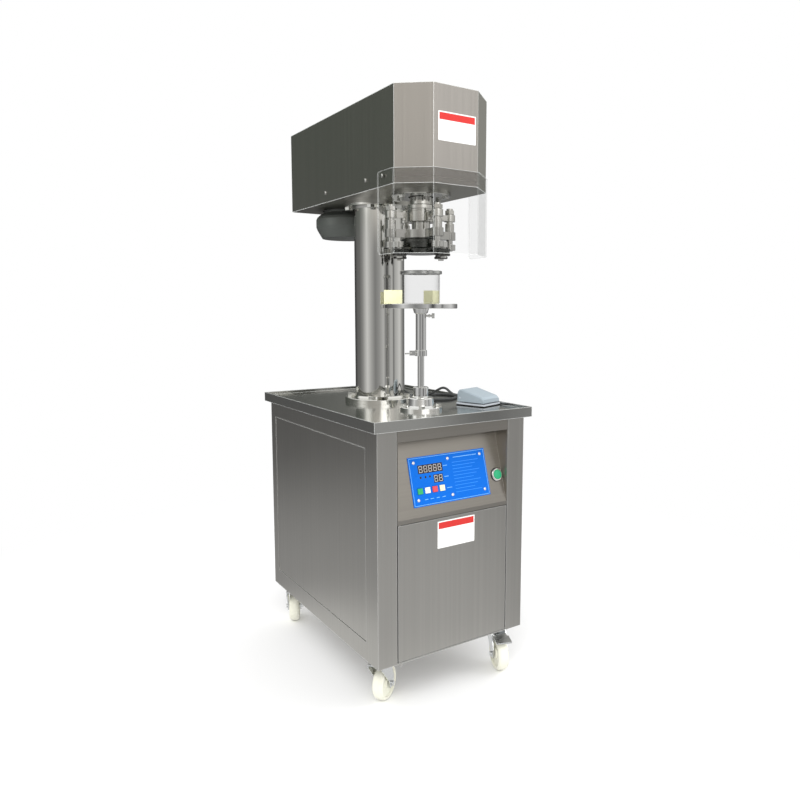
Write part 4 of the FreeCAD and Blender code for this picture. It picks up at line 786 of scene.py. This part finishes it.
    def panel_print(self) -> None:
        """Border, dashes and blank rules of the control panel, its dark windows and its indicator dots."""
        turn = self.slope.turn
        border = Outline()
        width, height, inset, line = 198.0, 102.0, 2.6, 0.9
        middle_x, middle_up = 0.5, 20.5 + height / 2
        for sign in (-1, 1):
            across = middle_x + sign * (width / 2 - inset)
            up = middle_up + sign * (height / 2 - inset)
            upright = Vector((line, height - 2 * inset, self.PRINT)) * MM
            level = Vector((width - 2 * inset, line, self.PRINT)) * MM
            border.slab(self.slope.at(across, middle_up, self.PRINT_FACE), upright, turn, 0.3 * MM)
            border.slab(self.slope.at(middle_x, up, self.PRINT_FACE), level, turn, 0.3 * MM)
        for across, up, wide in self.DASHES:
            dash = Vector((wide, 1.3, self.PRINT)) * MM
            border.slab(self.slope.at(across, up, self.PRINT_FACE), dash, turn, 0.5 * MM)
        self.keep(border.finish("panel_border"), "machine", "membrane_blue", FILM_LINE)
        rules = Outline()
        for row in range(10):
            wide = 70.0 - 9.0 * (row % 3)
            place = self.slope.at(10.0 + wide / 2, 101.0 - 7.0 * row, self.PRINT_FACE)
            rules.slab(place, Vector((wide, 1.1, self.PRINT)) * MM, turn, 0.5 * MM)
        self.keep(rules.finish("panel_rules"), "machine", "membrane_blue", FILM_RULE)
        windows = Outline()
        for across, up, wide, high in ((-46.2, 95.7, 61.6, 17.6), (-29.2, 73.0, 23.6, 16.6)):
            windows.slab(self.slope.at(across, up, self.WINDOW_FACE + 0.05), Vector((wide, high, 0.1)) * MM,
                         turn, 0.5 * MM)
        for across in (-72.8, -60.6, -49.7):
            windows.slab(self.slope.at(across, 79.0, self.PRINT_FACE), Vector((4.6, 4.6, self.PRINT)) * MM,
                         turn, 2.2 * MM)
        self.keep(windows.finish("display_windows"), "machine", "membrane_blue", DISPLAY_GLASS)

    def gasket_and_shade(self) -> None:
        """Dark rubber ring between the push button's bezel and the sheet, which also stands for the shade at
        the bezel's side: partly painted shade.
        """
        outline = Outline()
        normal = self.slope.turn @ Vector((0, 0, 1))
        profile = [(15.2 * MM, 0.0), (15.2 * MM, 1.8 * MM), (14.6 * MM, 2.3 * MM)]
        outline.turned(self.slope.at(*self.BUTTON), normal, profile, 48)
        self.keep(outline.finish("button_gasket_and_shade"), "machine", "gland_plastic", GLAND_NYLON)

    def digits(self) -> None:
        """Seven-segment digits behind both windows, with every segment there."""
        turn = self.slope.turn
        wide, high = self.DIGIT
        stroke = self.STROKE
        level = Vector((wide - 1.2 * stroke, stroke, self.PRINT)) * MM
        upright = Vector((stroke, high / 2 - 1.1 * stroke, self.PRINT)) * MM
        segments = [(0, 0, level), (0, high / 2 - stroke / 2, level), (0, stroke / 2 - high / 2, level)]
        for side in (-1, 1):
            for end in (-1, 1):
                segments.append((side * (wide / 2 - stroke / 2), end * high / 4, upright))
        lit = Outline()
        for first, count, middle_up in ((-70.0, 5, 95.7), (-35.0, 2, 73.0)):
            for number in range(count):
                for across, up, size in segments:
                    place = self.slope.at(first + self.DIGIT_STEP * number + across, middle_up + up,
                                          self.WINDOW_FACE + 0.14)
                    lit.slab(place, size, turn, 0.4 * MM)
        self.keep(lit.finish("display_digits"), "machine", "membrane_blue", SEGMENT)

    def route(self) -> list[Vector]:
        """Join the cable's lead, its coil and its tail into one list of control points.

        Returns:
            The points, in metres.
        """
        points = [Vector(point) for point in self.LEAD_ROUTE]
        x, y = self.COIL_MIDDLE
        turns, steps = 4, 12
        low, high = self.LYING, self.LYING + 2 * self.CABLE_RADIUS - 0.3
        for k in range(3, turns * steps - 3):
            share = k / (turns * steps)
            layer = share * 2
            inward = layer if layer < 1 else 2 - layer
            radius = self.COIL_RADII[0] + (self.COIL_RADII[1] - self.COIL_RADII[0]) * inward
            rise = min(1.0, max(0.0, (share - 0.44) / 0.12))
            angle = 2 * math.pi * (k / steps - 0.25)
            height = low + (high - low) * rise
            points.append(Vector((x + radius * math.cos(angle), y + radius * math.sin(angle), height)))
        points += [Vector(point) for point in self.TAIL_ROUTE]
        return [point * MM for point in points]

    def cable(self) -> None:
        """The foot switch cable: a hump, a loop on the worktop, a coil and the tail to the column."""
        points = self.route()
        curve = bpy.data.curves.new("foot_switch_cable", "CURVE")
        curve.dimensions = "3D"
        curve.bevel_depth = self.CABLE_RADIUS * MM
        curve.bevel_resolution = 4
        curve.resolution_u = 6
        curve.use_fill_caps = True
        spline = curve.splines.new("NURBS")
        spline.points.add(len(points) - 1)
        for control, point in zip(spline.points, points):
            control.co = (*point, 1.0)
        spline.order_u = 3
        spline.use_endpoint_u = True
        piece = bpy.data.objects.new("foot_switch_cable", curve)
        bpy.context.scene.collection.objects.link(piece)
        self.keep(piece, "machine", "cable_jacket", CABLE_PVC)
        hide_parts("cable_lead", "cable_coil", "cable_tail")
        length = curve.splines[0].calc_length()
        log.info("cable is %.3f m long", length)

    def build(self) -> None:
        """Make the whole look."""
        self.cable()
        self.dress_model()
        self.label_plates()
        self.screws()
        self.panel_print()
        self.gasket_and_shade()
        self.digits()


class Studio:
    """Camera, floor, background and light."""

    PLACE = Vector((-840.5, -1426.6, 830.8)) * MM
    YAW, PITCH = -33.03, -6.39
    LENS, SHIFT = 31.24, (-0.0226, -0.0188)
    # Lamps: name, place, size and power. All of them point at the middle of the machine.
    LAMPS = (("key_lamp", (-1.9, -2.2, 2.9), 2.2, 60.0), ("fill_lamp", (2.2, -1.4, 1.8), 2.0, 22.0))
    AIM = Vector((0, 0, 0.6))
    FLOOR_SIZE = 40.0
    # How much brighter than a white wall the windows are.
    WINDOW_LIGHT = 2.6

    def camera(self) -> None:
        """Stand the camera where the photograph was taken."""
        data = bpy.data.cameras.new("photo_camera")
        data.lens = self.LENS
        data.sensor_width = 36.0
        data.shift_x, data.shift_y = self.SHIFT
        camera = bpy.data.objects.new("photo_camera", data)
        camera.location = self.PLACE
        camera.rotation_euler = (math.radians(90 + self.PITCH), 0.0, math.radians(self.YAW))
        bpy.context.scene.collection.objects.link(camera)
        bpy.context.scene.camera = camera

    # What the steel mirrors near the horizon, as grey values once round from the left (-X) through the
    # front, the right and the back, and what it mirrors of the floor close by.
    HORIZON = [(0.00, 0.70), (0.055, 0.44), (0.11, 0.24), (0.16, 0.34), (0.215, 0.54), (0.262, 0.05),
               (0.30, 0.46), (0.335, 0.50), (0.352, 0.16), (0.372, 0.44), (0.46, 0.70), (0.52, 0.30),
               (0.60, 0.12), (0.645, 0.27), (0.68, 0.10), (0.74, 0.03), (0.82, 0.14), (0.88, 0.17),
               (0.93, 0.30), (1.00, 0.70)]
    NEAR = [(0.00, 0.42), (0.20, 0.56), (0.335, 0.57), (0.365, 0.43), (0.50, 0.43), (0.75, 0.30),
            (0.85, 0.40), (1.00, 0.42)]
    # Windows and lamp panels high in the hall, as extra light once round.
    WINDOWS = [(0.00, 0.4), (0.03, 0.4), (0.06, 0.0), (0.165, 0.0), (0.185, 1.0), (0.27, 1.0), (0.30, 0.0),
               (0.40, 0.0), (0.42, 0.2), (0.44, 0.0), (0.94, 0.0), (0.97, 0.4), (1.00, 0.4)]
    ABOVE = [(0.00, "#E4E4E0"), (0.025, "#BCBCB7"), (0.12, "#DCD8D2"), (0.20, "#E4E1DC"), (0.225, "#FFFFFF"),
             (0.25, "#E8E5E0"), (0.34, "#F0EDEA"), (0.42, "#C9C8C4"), (0.50, "#A9A9A4"), (0.645, "#94958F"),
             (0.69, "#5E605B"), (0.78, "#565B55"), (0.88, "#676C66"), (0.97, "#A2A4A0"), (1.00, "#E4E4E0")]

    @staticmethod
    def _round(graph: NodeGraph, split) -> bpy.types.NodeSocket:
        """Find how far round a direction or a place is.

        Args:
            graph: the graph to add to.
            split: the X, Y and Z outputs of the direction or place.

        Returns:
            The share of a full turn, 0 at the left.
        """
        angle = graph.maths("ARCTAN2", split["Y"], split["X"])
        return graph.maths("ADD", graph.maths("MULTIPLY", angle, 1 / (2 * math.pi)), 0.5)

    @staticmethod
    def _smooth(graph: NodeGraph, value, low: float, high: float) -> bpy.types.NodeSocket:
        """Step softly from 0 to 1.

        Args:
            graph: the graph to add to.
            value: the socket to follow.
            low: where the step starts.
            high: where it ends.

        Returns:
            The step's value.
        """
        step = graph.add("MapRange", {"interpolation_type": "SMOOTHSTEP"}, Value=value)
        step.inputs["From Min"].default_value = low
        step.inputs["From Max"].default_value = high
        return step.outputs[0]

    @staticmethod
    def _mirrored(graph: NodeGraph) -> bpy.types.NodeSocket:
        """Tell rays that steel mirrors from those that pass through clear pieces.

        Args:
            graph: the graph to add to.

        Returns:
            1 for a mirrored ray.
        """
        path = graph.add("LightPath").outputs
        return graph.maths("MULTIPLY", path["Is Glossy Ray"],
                           graph.maths("SUBTRACT", 1.0, path["Is Transmission Ray"]))

    def floor(self) -> None:
        """A pale floor with the object's shadow, white further off, that the steel mirrors darker."""
        bpy.ops.mesh.primitive_plane_add(size=self.FLOOR_SIZE, location=(0, 0, 0))
        plane = bpy.context.object
        plane.name = "studio_floor"
        plane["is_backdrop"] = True
        material = bpy.data.materials.new("pale studio floor")
        material.use_nodes = True
        graph = NodeGraph(material.node_tree)
        place = graph.add("TexCoord").outputs["Object"]
        split = graph.add("SeparateXYZ", Vector=place).outputs
        distance = graph.add("VectorMath", {"operation": "LENGTH"}, input0=place).outputs["Value"]
        share = self._round(graph, split)
        close = graph.ramp(share, self.NEAR)
        far = graph.ramp(share, self.HORIZON)
        grey = graph.add("MixRGB", Fac=self._smooth(graph, distance, 0.7, 2.7), Color1=close,
                         Color2=far).outputs[0]
        under = self._smooth(graph, distance, 0.30, 0.62)
        grey = graph.add("MixRGB", Fac=under, Color1=(0.75, 0.75, 0.74, 1), Color2=grey).outputs[0]
        seen = graph.add("BsdfDiffuse", Color=(0.96, 0.96, 0.96, 1)).outputs[0]
        white = graph.add("Emission", Color=(1, 1, 1, 1), Strength=1.0).outputs[0]
        direct = graph.add("LightPath").outputs
        eye = graph.maths("MAXIMUM", direct["Is Camera Ray"], direct["Is Transmission Ray"])
        away = graph.maths("MULTIPLY", eye, self._smooth(graph, distance, 0.75, 1.5))
        shown = graph.add("MixShader", input0=away, input1=seen, input2=white).outputs[0]
        mirrored = graph.add("Emission", Color=grey, Strength=1.0).outputs[0]
        mix = graph.add("MixShader", input0=self._mirrored(graph), input1=shown, input2=mirrored)
        graph.add("OutputMaterial", Surface=mix.outputs[0])
        plane.data.materials.append(material)

    def surroundings(self) -> None:
        """White background for the eye, and a hall with windows and dark walls for the steel to mirror."""
        world = bpy.data.worlds.new("studio")
        world.use_nodes = True
        bpy.context.scene.world = world
        graph = NodeGraph(world.node_tree)
        split = graph.add("SeparateXYZ", Vector=graph.add("TexCoord").outputs["Generated"]).outputs
        share = self._round(graph, split)
        level = graph.ramp(share, self.HORIZON)
        upper = graph.ramp(share, [(place, linear(code)) for place, code in self.ABOVE])
        rise = self._smooth(graph, split["Z"], 0.07, 0.17)
        hall = graph.add("MixRGB", Fac=rise, Color1=level, Color2=upper).outputs[0]
        lit = graph.add("MixRGB", Fac=self._smooth(graph, split["Z"], 0.12, 0.20), Color1=(0, 0, 0, 1),
                        Color2=graph.ramp(share, self.WINDOWS)).outputs[0]
        lit = graph.add("VectorMath", {"operation": "SCALE"}, input0=lit, Scale=self.WINDOW_LIGHT).outputs[0]
        hall = graph.add("MixRGB", {"blend_type": "ADD"}, Fac=1.0, Color1=hall, Color2=lit).outputs[0]
        ceiling = self._smooth(graph, split["Z"], 0.42, 0.60)
        hall = graph.add("MixRGB", Fac=ceiling, Color1=hall, Color2=(1.0, 1.0, 0.99, 1)).outputs[0]
        white = graph.add("Background", Color=(1, 1, 1, 1), Strength=1.0)
        walls = graph.add("Background", Color=hall, Strength=1.0)
        mix = graph.add("MixShader", input0=self._mirrored(graph), input1=white.outputs[0],
                        input2=walls.outputs[0])
        graph.add("OutputWorld", Surface=mix.outputs[0])

    def lamps(self) -> None:
        """One large soft lamp over the front left shoulder and a weaker one from the right."""
        for name, place, size, power in self.LAMPS:
            data = bpy.data.lights.new(name, "AREA")
            data.size = size
            data.energy = power
            lamp = bpy.data.objects.new(name, data)
            lamp.location = place
            lamp.rotation_euler = (self.AIM - Vector(place)).to_track_quat("-Z", "Y").to_euler()
            lamp.visible_glossy = False
            bpy.context.scene.collection.objects.link(lamp)

    def build(self) -> None:
        """Set up the whole studio."""
        self.camera()
        self.floor()
        self.surroundings()
        self.lamps()
        bpy.context.scene.view_settings.view_transform = "Standard"


def note_size(sizes: dict, moment: str) -> None:
    """Write down the whole object's box.

    Args:
        sizes: boxes noted so far.
        moment: name for this one.
    """
    low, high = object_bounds()
    sizes[moment] = [list(low), list(high)]


def main() -> None:
    """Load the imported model, dress it and light it."""
    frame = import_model()
    sizes: dict = {}
    note_size(sizes, "loaded")
    Studio().build()
    Seamer(frame).build()
    note_size(sizes, "finished")


if __name__ == "__main__":
    main()
